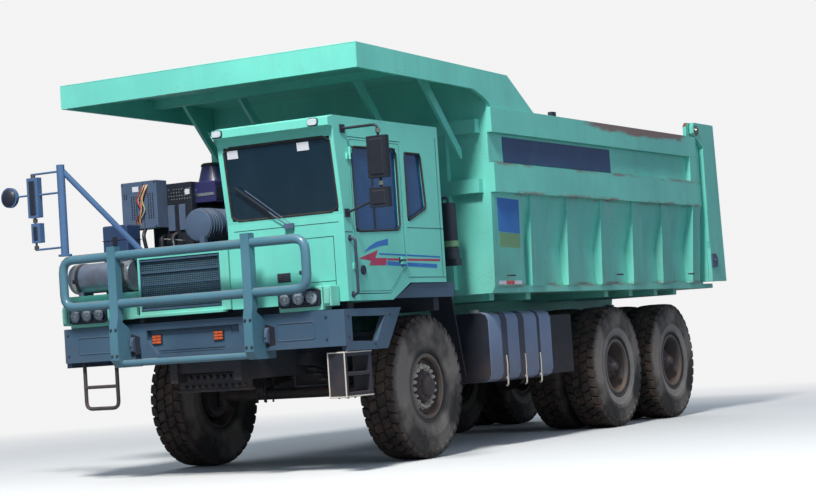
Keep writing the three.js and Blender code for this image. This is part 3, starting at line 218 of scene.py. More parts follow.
def lens_finish(name, tint, glow=0.0):
    """Pressed lamp lens with fine ribs."""
    g = Graph(name)
    tint = linear(tint)
    ribs = g.node("TexWave", {"Vector": g.place, "Scale": 24, "Distortion": 0.4})["Fac"]
    tone = g.mix(g.ramp(g.noise(20, 3), 0.3, 0.7), tint, [c * 0.75 for c in tint])
    return g.finish(base_color=tone, roughness=g.ramp(g.noise(9, 3), 0.3, 0.7, 0.08, 0.24),
                    normal=g.bump(ribs, 0.3, 0.003), emission_color=tone, emission_strength=glow,
                    coat_weight=1.0)


def rubber_finish(name, wheel=True, ring=0.0):
    """Tyre rubber: dark where clean, patches of pale dust on the flanks, a pale ring that is dust and a
    painted highlight of the rim edge, earth in the tread.
    """
    g = Graph(name)
    colour = g.mix(g.ramp(g.noise(7, 5), 0.35, 0.65), linear((34, 33, 33)), linear((52, 49, 48)))
    if wheel:
        across = g.node("VectorMath", {0: g.place, 1: (0, 1, 1)}, operation="MULTIPLY")["Vector"]
        radius = g.node("VectorMath", {0: across}, operation="LENGTH")["Value"]
        flank = g.math("MULTIPLY", g.ramp(radius, 0.33, 0.42), g.ramp(radius, 0.74, 0.66))
        dusty = g.math("MULTIPLY", flank, g.ramp(g.noise(1.1, 5), 0.46, 0.58, 0.06, 0.8))
        colour = g.mix(dusty, colour, linear((146, 136, 128)))
        # Pale ring near the bead: dust, and with a strong ring a painted highlight.
        pale = g.math("MULTIPLY", g.ramp(radius, 0.372, 0.392), g.ramp(radius, 0.482, 0.462))
        pale = g.math("MULTIPLY", pale, g.ramp(g.noise(4, 5), 0.3, 0.6, ring * 0.55, ring))
        colour = g.mix(pale, colour, linear((150, 146, 140)))
        tread = g.math("MULTIPLY", g.ramp(radius, 0.69, 0.73), g.ramp(g.noise(5, 6), 0.42, 0.66, 0.05, 0.7))
        colour = g.mix(tread, colour, linear((104, 82, 70)))
    height = g.math("ADD", g.noise(38, 6, rough=0.7), g.math("MULTIPLY", g.cells(26), 0.5))
    return g.finish(base_color=colour, roughness=g.ramp(g.noise(30, 4), 0.3, 0.7, 0.72, 0.95),
                    normal=g.bump(height, 0.35))


def scraped_finish(name):
    """Load space steel: paint scraped off by rock, rust and pale dust."""
    g = Graph(name)
    paint_left = g.ramp(g.noise(1.6, 7, rough=0.7), 0.5, 0.56)
    colour = g.mix(paint_left, linear((128, 112, 98)), linear((96, 168, 150)))
    scratch = g.ramp(g.noise(14, 5, (1, 0.06, 1)), 0.52, 0.6)
    colour = g.mix(g.math("MULTIPLY", scratch, 0.5), colour, linear((158, 148, 138)))
    colour = g.mix(g.ramp(g.noise(4.2, 6), 0.5, 0.72, 0, 0.75), colour, linear(RUST))
    return g.finish(base_color=colour, roughness=g.ramp(g.noise(9, 4), 0.3, 0.7, 0.5, 0.85),
                    metallic=0.25, normal=g.bump(g.noise(17, 6), 0.5, 0.006))


def side_finish(name, base, faded):
    """Load body paint with the top rubbed to primer towards the rear, chafed edges and scuffed ribs."""
    g = Graph(name, paint(name, base, faded, rough=0.36, dust=0.35, dust_top=2.3, coat=0.3))
    y, z = g.axis("Y"), g.axis("Z")
    high = g.ramp(z, BODY_TOP - 0.2, BODY_TOP - 0.03)
    along = g.math("MULTIPLY", g.ramp(y, AXLE_Y + 2.6, AXLE_Y + 4.4), g.ramp(y, AXLE_Y + 7.0, AXLE_Y + 6.5))
    rubbed = g.math("MULTIPLY", g.noise(3.0, 7, (1, 0.4, 1), 0.7), g.math("MULTIPLY", high, along))
    edge = 1.0
    for level in SIDE_EDGES:
        edge = g.math("MINIMUM", edge, g.math("ABSOLUTE", g.math("SUBTRACT", z, level)))
    chafed = g.ramp(g.noise(2.6, 6, (1, 0.6, 1), 0.7), 0.47, 0.6, 0, 0.8)
    worn = g.math("MAXIMUM", g.ramp(rubbed, 0.27, 0.38, 0, 0.85),
                  g.math("MULTIPLY", g.ramp(edge, 0.035, 0.006), chafed))
    scuff = g.math("MULTIPLY", g.ramp(z, 2.85, 2.65), g.ramp(g.noise(9, 5, (1, 1, 0.14)), 0.6, 0.68, 0, 0.45))
    painted = g.shader.inputs["Base Color"].links[0].from_socket
    return g.finish(base_color=g.mix(worn, g.mix(scuff, painted, linear((168, 206, 204))), linear(PRIMER)))


def rail_finish(name, base, faded):
    """Top rail of the load body, rubbed to primer and rust towards the rear."""
    g = Graph(name)
    colour = g.mix(g.ramp(g.noise(1.1, 4), 0.4, 0.65), linear(base), linear(faded))
    along = g.ramp(g.axis("Y"), AXLE_Y + 2.4, AXLE_Y + 3.8, 0.16, -0.06)
    worn = g.ramp(g.math("SUBTRACT", g.noise(3.4, 7, (1, 0.5, 1), 0.7), along), 0.4, 0.5)
    colour = g.mix(worn, colour, linear((142, 74, 62)))
    colour = g.mix(g.ramp(g.noise(8, 5), 0.52, 0.7, 0, 0.8), colour, linear((132, 112, 100)))
    return g.finish(base_color=colour, roughness=g.ramp(worn, 0, 1, 0.45, 0.82),
                    normal=g.bump(g.noise(24, 5), 0.45))


def cloth_finish(name, base):
    """Woven seat cover or moulded trim."""
    g = Graph(name)
    base = linear(base)
    colour = g.mix(g.ramp(g.noise(5, 5), 0.3, 0.7), base, [c * 1.7 + 0.01 for c in base])
    return g.finish(base_color=colour, roughness=g.ramp(g.noise(40, 3), 0.3, 0.7, 0.62, 0.9),
                    normal=g.bump(g.cells(260), 0.35, 0.002))


def mark(name, base, faded, **wear):
    """Paint or film of a sign, stripe or label."""
    return paint(name, base, faded, rough=0.5, dust=0.1, **wear)


finishes = {
    "mint": paint("mint_paint", MINT, MINT_FADED, rough=0.36, dust=0.35, dust_top=2.3, coat=0.3),
    "mint_clean": paint("mint_paint_clean", MINT, MINT_FADED, rough=0.34, dust=0.1, chips=0.1,
                        streak=0.14, coat=0.35, top_dust=0.2),
    "rail": rail_finish("rail_paint", MINT, MINT_FADED),
    "side": side_finish("side_paint", MINT, MINT_FADED),
    "scraped": scraped_finish("scraped_steel"),
    "slate": paint("slate_paint", SLATE, SLATE_FADED, rough=0.4, dust=0.3, dust_top=1.4,
                   chips=0.3, coat=0.25),
    "bar": paint("bar_paint", (72, 116, 134), (84, 128, 146), rough=0.36, dust=0.25,
                 dust_top=1.4, coat=0.25),
    # Blue tone of the right mirror's post is partly a painted sky reflection.
    "post": paint("post_paint_with_painted_reflection", (66, 98, 142), (78, 110, 150), rough=0.4, dust=0.1, coat=0.2),
    "service": paint("service_paint", (38, 62, 98), (48, 74, 108), rough=0.45),
    "dark": paint("dark_metal", (34, 42, 54), (48, 54, 64), rough=0.55, dust=0.45,
                  dust_top=1.4, coat=0.0, streak=0.1),
    "black": paint("black_metal", (22, 28, 38), (34, 42, 58), rough=0.5, dust=0.2,
                   coat=0.1, streak=0.1, chips=0.15),
    "strap": paint("strap_metal", (40, 50, 68), (52, 62, 80), rough=0.5, dust=0.3),
    "steel": paint("bare_steel", (150, 146, 140), (118, 112, 106), rough=0.34,
                   metal=0.85, dust=0.35, coat=0.0, streak=0.45),
    "heat_steel": paint("heated_steel", (132, 150, 174), (112, 114, 122), rough=0.4,
                        metal=0.6, dust=0.1, coat=0.0, streak=0.5, patch=2.4),
    "bright": paint("bright_steel", (214, 214, 208), (186, 184, 178), rough=0.22,
                    metal=0.9, dust=0.1, coat=0.0, streak=0.2, chips=0.1),
    # Dusty metal made paler than dust alone, as a painted highlight of sunlit nuts; also used on the step
    # edges and tank latches.
    "nut": paint("dusty_nut_painted_highlight", (232, 226, 214), (196, 188, 176), rough=0.45,
                 metal=0.15, dust=0.2, coat=0.0),
    "rim": paint("rim_paint", (56, 56, 62), (76, 74, 76), rough=0.6, dust=0.25,
                 dust_top=3.0, coat=0.0, chips=0.3),
    "lock": paint("lock_ring", (112, 110, 110), (92, 90, 90), rough=0.6, dust=0.35,
                  dust_top=3.0, coat=0.0, chips=0.3),
    "hub": paint("hub_paint", (50, 48, 60), (68, 64, 70), rough=0.45, dust=0.15,
                 dust_top=3.0, coat=0.1),
    "tank": paint("tank_metal", (140, 156, 186), (122, 140, 170), rough=0.38,
                  metal=0.35, dust=0.6, dust_top=1.3, coat=0.1),
    "grey": paint("grey_paint", (82, 100, 126), (70, 88, 112), rough=0.5,
                  dust=0.15, coat=0.1, patch=3),
    "plum": paint("plum_plastic", (50, 44, 92), (38, 42, 88), rough=0.4,
                  dust=0.1, coat=0.2, patch=3),
    "reflector": paint("lamp_reflector", (96, 112, 132), (70, 84, 104), rough=0.2,
                       metal=0.85, dust=0.1, coat=0.3, patch=9),
    "glass": glass_finish("cab_glass", (20, 46, 62), 0.8),
    "side_glass": glass_finish("side_glass", (38, 84, 132), 0.8),
    "head_glass": glass_finish("headlamp_glass", (200, 214, 222), 0.28, 0.02),
    "lens": lens_finish("lamp_lens", (206, 218, 224), 0.05),
    "corner_lens": lens_finish("corner_lens", (126, 206, 188)),
    "orange": lens_finish("orange_lens", (206, 92, 44), 0.12),
    # Faint glow on the red piece of the reflector strip: a painted glow.
    "red": lens_finish("red_lens_painted_glow", (196, 44, 40), 0.1),
    "rubber": rubber_finish("tyre_rubber", ring=0.15),
    # The rear tyres' strong pale ring is mostly a painted highlight of the lit rim edge.
    "rubber_rear": rubber_finish("tyre_rubber_rear_painted_highlight", ring=1.0),
    "seal": rubber_finish("seal_rubber", wheel=False),
    "seat": cloth_finish("seat_cloth", (44, 46, 54)),
    "trim": cloth_finish("cab_trim", (52, 55, 62)),
    "white": mark("white_label", (214, 216, 222), (200, 204, 212), chips=0.1, coat=0.0, streak=0.1),
    "sign_blue": paint("sign_blue", (38, 66, 108), (50, 80, 120), rough=0.42,
                       dust=0.1, chips=0.3, chip=(140, 150, 160), streak=0.3),
    "mark_blue": mark("mark_blue", (46, 110, 186), (62, 124, 190), chips=0.3, chip=MINT, coat=0.0),
    "mark_olive": mark("mark_olive", (122, 160, 112), (104, 152, 116), chips=0.4, chip=MINT, coat=0.0),
    "mark_red": mark("mark_red", (184, 52, 88), (168, 62, 92), chips=0.3, chip=MINT, coat=0.0),
    "wire_red": paint("wire_red", (182, 48, 50), (140, 40, 42), rough=0.5),
    "wire_yellow": paint("wire_yellow", (206, 190, 140), (170, 156, 116), rough=0.5),
}


# ---------------------------------------------------------------- shapes
shape = bmesh.new


def loft(bm, rings, closed=False):
    """Skin through equal rings of points, capped, or with the last ring joined to the first."""
    rows = [[bm.verts.new(p) for p in ring] for ring in rings]
    count = len(rows[0])
    pairs = list(zip(rows, rows[1:]))
    if closed:
        pairs.append((rows[-1], rows[0]))
    for a, b in pairs:
        for i in range(count):
            j = (i + 1) % count
            bm.faces.new((a[i], a[j], b[j], b[i]))
    if not closed:
        bm.faces.new(rows[0][::-1])
        bm.faces.new(rows[-1])


def on_axis(axis, point, t):
    """A point from its place t on one axis and its two other values, in X, Y, Z order."""
    values = list(point)
    values.insert("XYZ".index(axis), t)
    return Vector(values)


def prism(bm, outline, axis, start, end):
    loft(bm, [[on_axis(axis, p, t) for p in outline] for t in (start, end)])


def box(bm, low, high):
    (x0, y0, z0), (x1, y1, z1) = low, high
    prism(bm, [(x0, y0), (x1, y0), (x1, y1), (x0, y1)], "Z", z0, z1)


def block(bm, low, high):
    """Box whose corners are counted back from the front axle."""
    box(bm, at(*low), at(*high))


def circle(centre, direction, radius, steps, turn=0.0):
    direction = Vector(direction).normalized()
    side = direction.cross(Vector(UP)) if abs(direction.z) < 0.9 else direction.orthogonal()
    side.normalize()
    other = direction.cross(side)
    angles = [turn + 2 * math.pi * i / steps for i in range(steps)]
    return [Vector(centre) + radius * (math.cos(a) * side + math.sin(a) * other) for a in angles]


def rod(bm, a, b, radius, steps=16):
    a, b = Vector(a), Vector(b)
    loft(bm, [circle(end, b - a, radius, steps) for end in (a, b)])


def turned(bm, centre, direction, profile, steps=32, closed=False):
    """Solid of revolution; profile is (radius, distance along direction) from one end to the other."""
    direction = Vector(direction).normalized()
    rings = [circle(Vector(centre) + direction * t, direction, max(r, 1e-4), steps) for r, t in profile]
    loft(bm, rings, closed)


def rounded(points, corner, steps=6):
    """Path with its inner corners rounded."""
    path = [points[0]]
    for before, here, after in zip(points, points[1:], points[2:]):
        start = here + (before - here).normalized() * corner
        end = here + (after - here).normalized() * corner
        for i in range(steps + 1):
            t = i / steps
            path.append(start * (1 - t) ** 2 + here * 2 * t * (1 - t) + end * t ** 2)
    path.append(points[-1])
    return path


def tube(bm, points, radius, corner=0.0, steps=14, closed=False):
    """Round tube along a path."""
    path = [Vector(p) for p in points]
    if corner:
        path = rounded(path, corner)
    count = len(path)
    side = None
    rings = []
    for i, here in enumerate(path):
        if closed:
            along = (path[(i + 1) % count] - path[i - 1]).normalized()
        else:
            along = (path[min(i + 1, count - 1)] - path[max(i - 1, 0)]).normalized()
        side = along.orthogonal() if side is None else side - along * side.dot(along)
        side.normalize()
        other = along.cross(side)
        angles = [2 * math.pi * k / steps for k in range(steps)]
        rings.append([here + radius * (math.cos(a) * side + math.sin(a) * other) for a in angles])
    loft(bm, rings, closed)


def pipe(bm, points, *sizes):
    """Tube through points that are counted back from the front axle."""
    tube(bm, [at(*p) for p in points], *sizes)


def hexagon(bm, centre, direction, radius, height):
    """Bolt head or nut on a washer."""
    centre, direction = Vector(centre), Vector(direction).normalized()
    rod(bm, centre - direction * 0.002, centre + direction * height * 0.22, radius * 1.35, 12)
    loft(bm, [circle(centre + direction * height * share, direction, radius * size, 6)
              for share, size in ((0.2, 1), (0.85, 1), (1, 0.82))])


def inset_outline(outline, gap):
    """Corners of a convex outline moved in by about gap."""
    cx = sum(p[0] for p in outline) / len(outline)
    cy = sum(p[1] for p in outline) / len(outline)
    return [(x - math.copysign(gap, x - cx), y - math.copysign(gap, y - cy)) for x, y in outline]


def gasket(bm, outline, axis, level, width):
    """Rounded rubber or metal strip round a closed outline, at one level or at level(point)."""
    path = [on_axis(axis, p, level(p) if callable(level) else level) for p in outline]
    dense = []
    for a, b in zip(path, path[1:] + path[:1]):
        dense += [a + (b - a) * t for t in (0.06, 0.35, 0.65, 0.94)]
    tube(bm, dense, width / 2, steps=8, closed=True)


def seam(bm, a, b, out, wide=0.006, deep=0.0015):
    """Dark joint line between two points on a flat wall that faces out."""
    a, b, out = Vector(a), Vector(b), Vector(out)
    across = (b - a).normalized().cross(out) * wide / 2
    low, high = out * -0.004, out * deep
    ring = [a + across + low, a + across + high, a - across + high, a - across + low]
    loft(bm, [ring, [p + (b - a) for p in ring]])


def ring_of(bm, centre, s, radius, count, size, height, turn=0.0, stud=0.0):
    """Nuts in a circle on a face that looks to s along X."""
    for k in range(count):
        a = turn + 2 * math.pi * k / count
        here = centre + Vector((0, radius * math.cos(a), radius * math.sin(a)))
        hexagon(bm, here, (s, 0, 0), size, height)
        if stud:
            rod(bm, here, here + Vector((s * stud, 0, 0)), size * 0.5, 8)


def pair(s, a, b):
    """Two places along X on the side s, the lower one first."""
    return sorted((s * a, s * b))


def place_mesh(name, mesh, body, finish, smooth=35, bevel=0.0, replaces=(), where=None):
    """Puts a mesh in the scene, on its body, with its finish."""
    if not mesh.materials:
        mesh.materials.append(finishes[finish])
    for polygon in mesh.polygons:
        polygon.use_smooth = True
    mesh.set_sharp_from_angle(angle=math.radians(smooth))
    obj = bpy.data.objects.new(name, mesh)
    bpy.context.scene.collection.objects.link(obj)
    if where is not None:
        obj.location = where
    if bevel:
        edge = obj.modifiers.new("edges", "BEVEL")
        edge.width = bevel
        edge.segments = 2
        edge.limit_method = "ANGLE"
        edge.angle_limit = math.radians(38)
        edge.harden_normals = True
    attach(obj, body)
    if replaces:
        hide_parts(*replaces)


def place(name, bm, body, finish, smooth=35, bevel=0.0, replaces=()):
    """Turns a finished shape into a piece."""
    bmesh.ops.recalc_face_normals(bm, faces=bm.faces)
    mesh = bpy.data.meshes.new(name)
    bm.to_mesh(mesh)
    bm.free()
    place_mesh(name, mesh, body, finish, smooth, bevel, replaces)


def fix(name, bm, finish, smooth=35, bevel=0.0, replaces=()):
    """A piece on the chassis."""
    place(name, bm, "chassis", finish, smooth, bevel, replaces)


body_names = {node: frame["nodes"][node]["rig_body"] for node in frame["nodes"]}


def dressed(node, finish, bevel=0.006, smooth=35, others=()):
    """Rounded-edge copy that stands for a CAD node; others are (finish, test(normal, centre))."""
    bm = shape()
    bm.from_mesh(frame["nodes"][node].data)
    bmesh.ops.remove_doubles(bm, verts=bm.verts, dist=0.00005)
    bmesh.ops.dissolve_limit(bm, angle_limit=math.radians(0.4), verts=bm.verts, edges=bm.edges)
    mesh = bpy.data.meshes.new(node + "_finished")
    bm.to_mesh(mesh)
    bm.free()
    mesh.materials.clear()
    mesh.materials.append(finishes[finish])
    for extra, _ in others:
        mesh.materials.append(finishes[extra])
    for polygon in mesh.polygons:
        polygon.material_index = 0
        for i, (_, test) in enumerate(others):
            if test(polygon.normal, polygon.center):
                polygon.material_index = i + 1
    place_mesh(node + "_finished", mesh, body_names[node], finish, smooth, bevel, (node,))


# ---------------------------------------------------------------- CAD solids with rounded edges
def in_cab(normal, centre):
    """Faces of the cab's inside."""
    wide = CAB_X0 + 0.03 < centre.x < CAB_X1 - 0.03
    deep = CAB_FACE + 0.025 < centre.y < CAB_HIGH.y - 0.03
    return wide and deep and CAB_LOW.z + 0.03 < centre.z < CAB_HIGH.z - 0.03


def looks_in(side):
    """Faces of a load body side that look at the load."""
    return lambda normal, centre: normal.x * side < -0.4 and centre.z > BODY_LOW.z + 0.06


def rail_top(normal, centre):
    return normal.z > 0.7 and centre.z > BODY_TOP - 0.02


def above(node, drop, finish):
    """The faces within drop of the node's top have this finish."""
    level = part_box(node)[1].z - drop
    return [(finish, lambda normal, centre: centre.z > level)]


dressed("chassis_frame", "dark", 0.004)
dressed("front_bumper", "slate", 0.012, 20, [("dark", lambda n, c: c.z < BUMPER_HIGH.z - 0.4)])
dressed("bull_bar", "bar", 0.007)
dressed("grille_housing", "mint", 0.006)
dressed("engine_and_driveline", "black", 0.006)
dressed("upper_engine_unit", "black", 0.01, 35, above("upper_engine_unit", 0.24, "plum"))
dressed("control_box", "grey", 0.008)
dressed("air_filter", "grey", 0.008)
dressed("right_deck", "mint", 0.006)
dressed("muffler", "heat_steel", 0.012)
dressed("service_box", "service", 0.018)
dressed("cab_shell", "mint_clean", 0.012, 14, [("trim", in_cab)])
dressed("cab_door", "mint_clean", 0.006, 14)
dressed("seat", "seat", 0.035)
dressed("dashboard", "trim", 0.008)
dressed("mirror_left", "black", 0.012)
dressed("mirror_right", "post", 0.01)
for side in ("left", "right"):
    # Fender faces more than 0.6 m behind the axle get the dark finish as painted shade behind the front
    # wheel.
    dressed(f"fender_{side}", "slate", 0.006, 20, [("dark", lambda n, c: c.y > AXLE_Y + 0.6)])
    dressed(f"locker_{side}", "black", 0.012)
    dressed(f"knuckle_{side}", "dark", 0.004)
dressed("step_left", "black", 0.004)
for tank in ("fuel_tank_left", "fluid_tank_right"):
    # The forward-looking faces of each tank get the black finish as painted shade on its front end.
    dressed(tank, "tank", 0.012, 50, [("black", lambda n, c: n.y < -0.7)])
dressed("filter_canister", "dark", 0.006)
for node in ("front_axle", "rear_axle_1", "rear_axle_2", "rear_springs"):
    dressed(node, "dark", 0.004)
floor_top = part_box("body_floor")[1].z - 0.01
dressed("body_floor", "mint", 0.008, 20, [("scraped", lambda n, c: n.z > 0.9 and c.z > floor_top)])
dressed("body_side_left", "side", 0.008, 12, [("scraped", looks_in(1)), ("rail", rail_top)])
dressed("body_side_right", "side", 0.008, 12, [("scraped", looks_in(-1)), ("rail", rail_top)])
dressed("body_front_wall", "mint", 0.008, 12, [("scraped", lambda n, c: n.y > 0.5), ("rail", rail_top)])
dressed("canopy", "mint", 0.008, 12)
dressed("tailgate", "mint", 0.008, 14)
dressed("hoist_barrel", "dark", 0.004)
dressed("hoist_stage_1", "bright", 0.002)
dressed("hoist_stage_2", "bright", 0.002)


# ---------------------------------------------------------------- tyres and rims
BEAD_R = 0.322
TREAD_DEPTH = 0.036
TREAD_PITCHES = 38
FLANK = [  # (radius, distance from the tyre's middle), from the bead to the shoulder
    (BEAD_R, 0.158), (0.326, 0.172), (0.345, 0.181), (0.352, 0.194), (0.368, 0.196),
    (0.374, 0.190), (0.43, 0.203), (0.50, 0.2125), (0.506, 0.2155), (0.53, 0.2155),
    (0.536, 0.2125), (0.59, 0.2105), (0.64, 0.205), (0.675, 0.199), (0.682, 0.196),
    (0.705, 0.187),
]


def polar(x, r, a):
    return Vector((x, r * math.cos(a), r * math.sin(a)))


def lug(bm, x0, x1, a0, a1, skew, foot, reach=0.0):
    """One tread block between two widths and two angles; skew turns it along the tread."""
    rings = []
    for shrink, sunk in ((0.0, None), (0.05, 0.005), (0.12, 0.0)):
        ring = []
        for u, v in ((0, 0), (0.5, -0.04), (1, 0), (1.04, 0.5), (1, 1), (0.5, 1.04), (0, 1), (-0.04, 0.5)):
            u = 0.5 + (u - 0.5) * (1 - shrink)
            v = 0.5 + (v - 0.5) * (1 - shrink)
            x = x0 + (x1 - x0) * u
            a = a0 + (a1 - a0) * v + skew * (u - 0.5)
            if sunk is None:
                r = foot
                x += math.copysign(reach, x) if abs(x) > 0.14 else 0.0
            else:
                r = TYRE_R - 0.014 * (abs(x) / TYRE_HALF) ** 3 - sunk
            ring.append(polar(x, r, a))
        rings.append(ring)
    loft(bm, rings)


def shoulder(bm, s, a0, a1):
    """Shoulder buttress that runs down the flank."""
    rings = []
    for r, x, w in ((0.726, 0.1925, 0), (0.70, 0.199, 0.01), (0.668, 0.2075, 0.02), (0.655, 0.203, 0.02)):
        outer = [polar(s * x, r, a0 + w * 0.3), polar(s * x, r, a1 - w * 0.3)]
        inner = [p - Vector((s * 0.016, 0, 0)) for p in outer]
        rings.append(outer + inner[::-1])
    loft(bm, rings)


def tyre_mesh():
    """Rock-pattern tyre round the X axis: ribbed flanks, shoulder lugs and staggered centre blocks."""
    bm = shape()
    base = TYRE_R - TREAD_DEPTH
    profile = [(r, -x) for r, x in FLANK]
    profile += [(base + 0.002, -0.12), (base + 0.004, 0.0), (base + 0.002, 0.12)]
    profile += [(r, x) for r, x in reversed(FLANK)]
    steps = 96
    loft(bm, [[polar(x, r, 2 * math.pi * i / steps) for r, x in profile] for i in range(steps)], True)
    pitch = 2 * math.pi / TREAD_PITCHES
    for k in range(TREAD_PITCHES):
        a = k * pitch
        lug(bm, 0.112, 0.192, a, a + pitch * 0.80, 0.03, base - 0.02, 0.004)
        lug(bm, -0.192, -0.112, a + pitch * 0.5, a + pitch * 1.3, 0.03, base - 0.02)
        lug(bm, 0.008, 0.103, a + pitch * 0.42, a + pitch * 1.24, -0.05, base)
        lug(bm, -0.103, -0.008, a + pitch * 0.92, a + pitch * 1.74, -0.05, base)
        for s, shift in ((1, 0.0), (-1, 0.5)):
            shoulder(bm, s, a + pitch * (shift + 0.12), a + pitch * (shift + 0.66))
    for k in range(60):
        a = 2 * math.pi * k / 60
        for s in (1, -1):
            # fine radial rib near the bead
            rings = []
            for r, x in ((0.385, 0.193), (0.402, 0.1975), (0.419, 0.201)):
                corners = ((0.0022, 0), (0.0022, 0.016), (-0.004, 0.016), (-0.004, 0))
                rings.append([polar(s * (x + out), r, a + t) for out, t in corners])
            loft(bm, rings)
    bmesh.ops.recalc_face_normals(bm, faces=bm.faces)
    mesh = bpy.data.meshes.new("tyre")
    bm.to_mesh(mesh)
    bm.free()
    return mesh


tyre_shape = tyre_mesh()
tyre_shapes = {}
for node in sorted(body_names):
    if node.endswith("_tyre"):
        centre = middle(node)
        look = "rubber" if "front" in node else "rubber_rear"
        if look not in tyre_shapes:
            tyre_shapes[look] = tyre_shape.copy()
            tyre_shapes[look].materials.append(finishes[look])
        place_mesh(node + "_treaded", tyre_shapes[look], body_names[node], look, 32, 0, (node,),
                   Vector((centre.x, centre.y, TYRE_R)))

FRONT_WELLS = ((1.1, 1.53, 1.405),)  # inner and outer side of each tyre, and its disc
REAR_WELLS = ((1.14, 1.57, 1.17), (0.64, 1.07, 1.04))
WELL_INSET = 0.036


def rim_profile(low, high, disc):
    """Rim well section between two outer edges along X, with the disc set at disc."""
    r = BEAD_R
    return [(r + 0.012, low), (r + 0.014, low + 0.012), (r - 0.004, low + 0.02), (r - 0.006, low + 0.06),
            (r - 0.03, low + 0.09), (r - 0.03, high - 0.11), (r - 0.008, high - 0.075),
            (r - 0.006, high - 0.022), (r + 0.014, high - 0.014), (r + 0.012, high),
            (r - 0.012, high - 0.002), (r - 0.02, high - 0.03), (r - 0.026, high - 0.08),
            (r - 0.046, high - 0.12), (r - 0.046, disc + 0.02), (r - 0.075, disc + 0.004),
            (r - 0.12, disc + 0.004), (r - 0.12, disc - 0.014), (r - 0.05, disc - 0.014),
            (r - 0.046, low + 0.1), (r - 0.02, low + 0.05), (r - 0.012, low)]


def front_hub(inner, disc, outer):
    return [(0.06, inner), (0.205, inner + 0.01), (0.205, disc - 0.02), (0.238, disc + 0.005),
            (0.238, disc + 0.02), (0.168, disc + 0.024), (0.16, disc + 0.062), (0.15, disc + 0.072),
            (0.148, disc + 0.08), (0.112, disc + 0.084), (0.105, outer - 0.032), (0.09, outer - 0.01),
            (0.06, outer), (0.012, outer)]


def rear_hub(inner, disc, outer):
    return [(0.10, inner), (0.21, inner + 0.02), (0.21, 1.03), (0.246, 1.045), (0.246, disc - 0.01),
            (0.232, disc + 0.012), (0.19, disc + 0.016), (0.184, disc + 0.14), (0.172, disc + 0.165),
            (0.16, disc + 0.168), (0.155, disc + 0.24), (0.14, disc + 0.262), (0.06, outer - 0.035),
            (0.045, outer), (0.012, outer)]


def wheel_rim(node):
    """Rim well, lock ring, hub and nuts of one wheel."""
    low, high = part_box(node)
    s = 1 if middle(node).x > 0 else -1
    inner, outer = pair(s, low.x, high.x)
    body = body_names[node]
    axis = Vector((0, middle(node).y, TYRE_R))
    out = Vector((s, 0, 0))
    front = "front" in node
    wells = FRONT_WELLS if front else REAR_WELLS
    disc = wells[0][2]
    edge = wells[0][1] - WELL_INSET
    well = shape()
    for t0, t1, plate in wells:
        turned(well, axis, out, rim_profile(t0 + WELL_INSET, t1 - WELL_INSET, plate), 64, True)
    for k in range(4):
        # clamp lugs round the lock ring
        spot = axis + polar(s * (edge - 0.012), 0.327, math.pi / 4 + k * math.pi / 2)
        rod(well, spot, spot + out * 0.014, 0.012, 8)
    place(node + "_well", well, body, "rim", 40, 0, (node,))
    lock = shape()
    turned(lock, axis, out, [(0.300, edge - 0.03), (0.338, edge - 0.012), (0.339, edge + 0.004),
                             (0.322, edge + 0.012), (0.304, edge + 0.006)], 64, True)
    place(node + "_lock_ring", lock, body, "lock", 40)
    hub = shape()
    if front:
        turned(hub, axis, out, front_hub(inner, disc, outer), 48)
        ring_of(hub, axis + out * (disc + 0.08), s, 0.128, 10, 0.009, 0.012)
    else:
        turned(hub, axis, out, rear_hub(inner, disc, outer), 48)
        ring_of(hub, axis + out * (disc + 0.16), s, 0.168, 12, 0.009, 0.012)
        ring_of(hub, axis + out * (outer - 0.045), s, 0.1, 8, 0.008, 0.01)
    place(node + "_hub", hub, body, "hub", 40)
    nuts = shape()
    ring_of(nuts, axis + out * (disc + 0.02), s, 0.208, 18, 0.0245, 0.045, 0.1, 0.058)
    place(node + "_nuts", nuts, body, "nut", 30)


for node in sorted(body_names):
    if node.endswith("_rim"):
        wheel_rim(node)


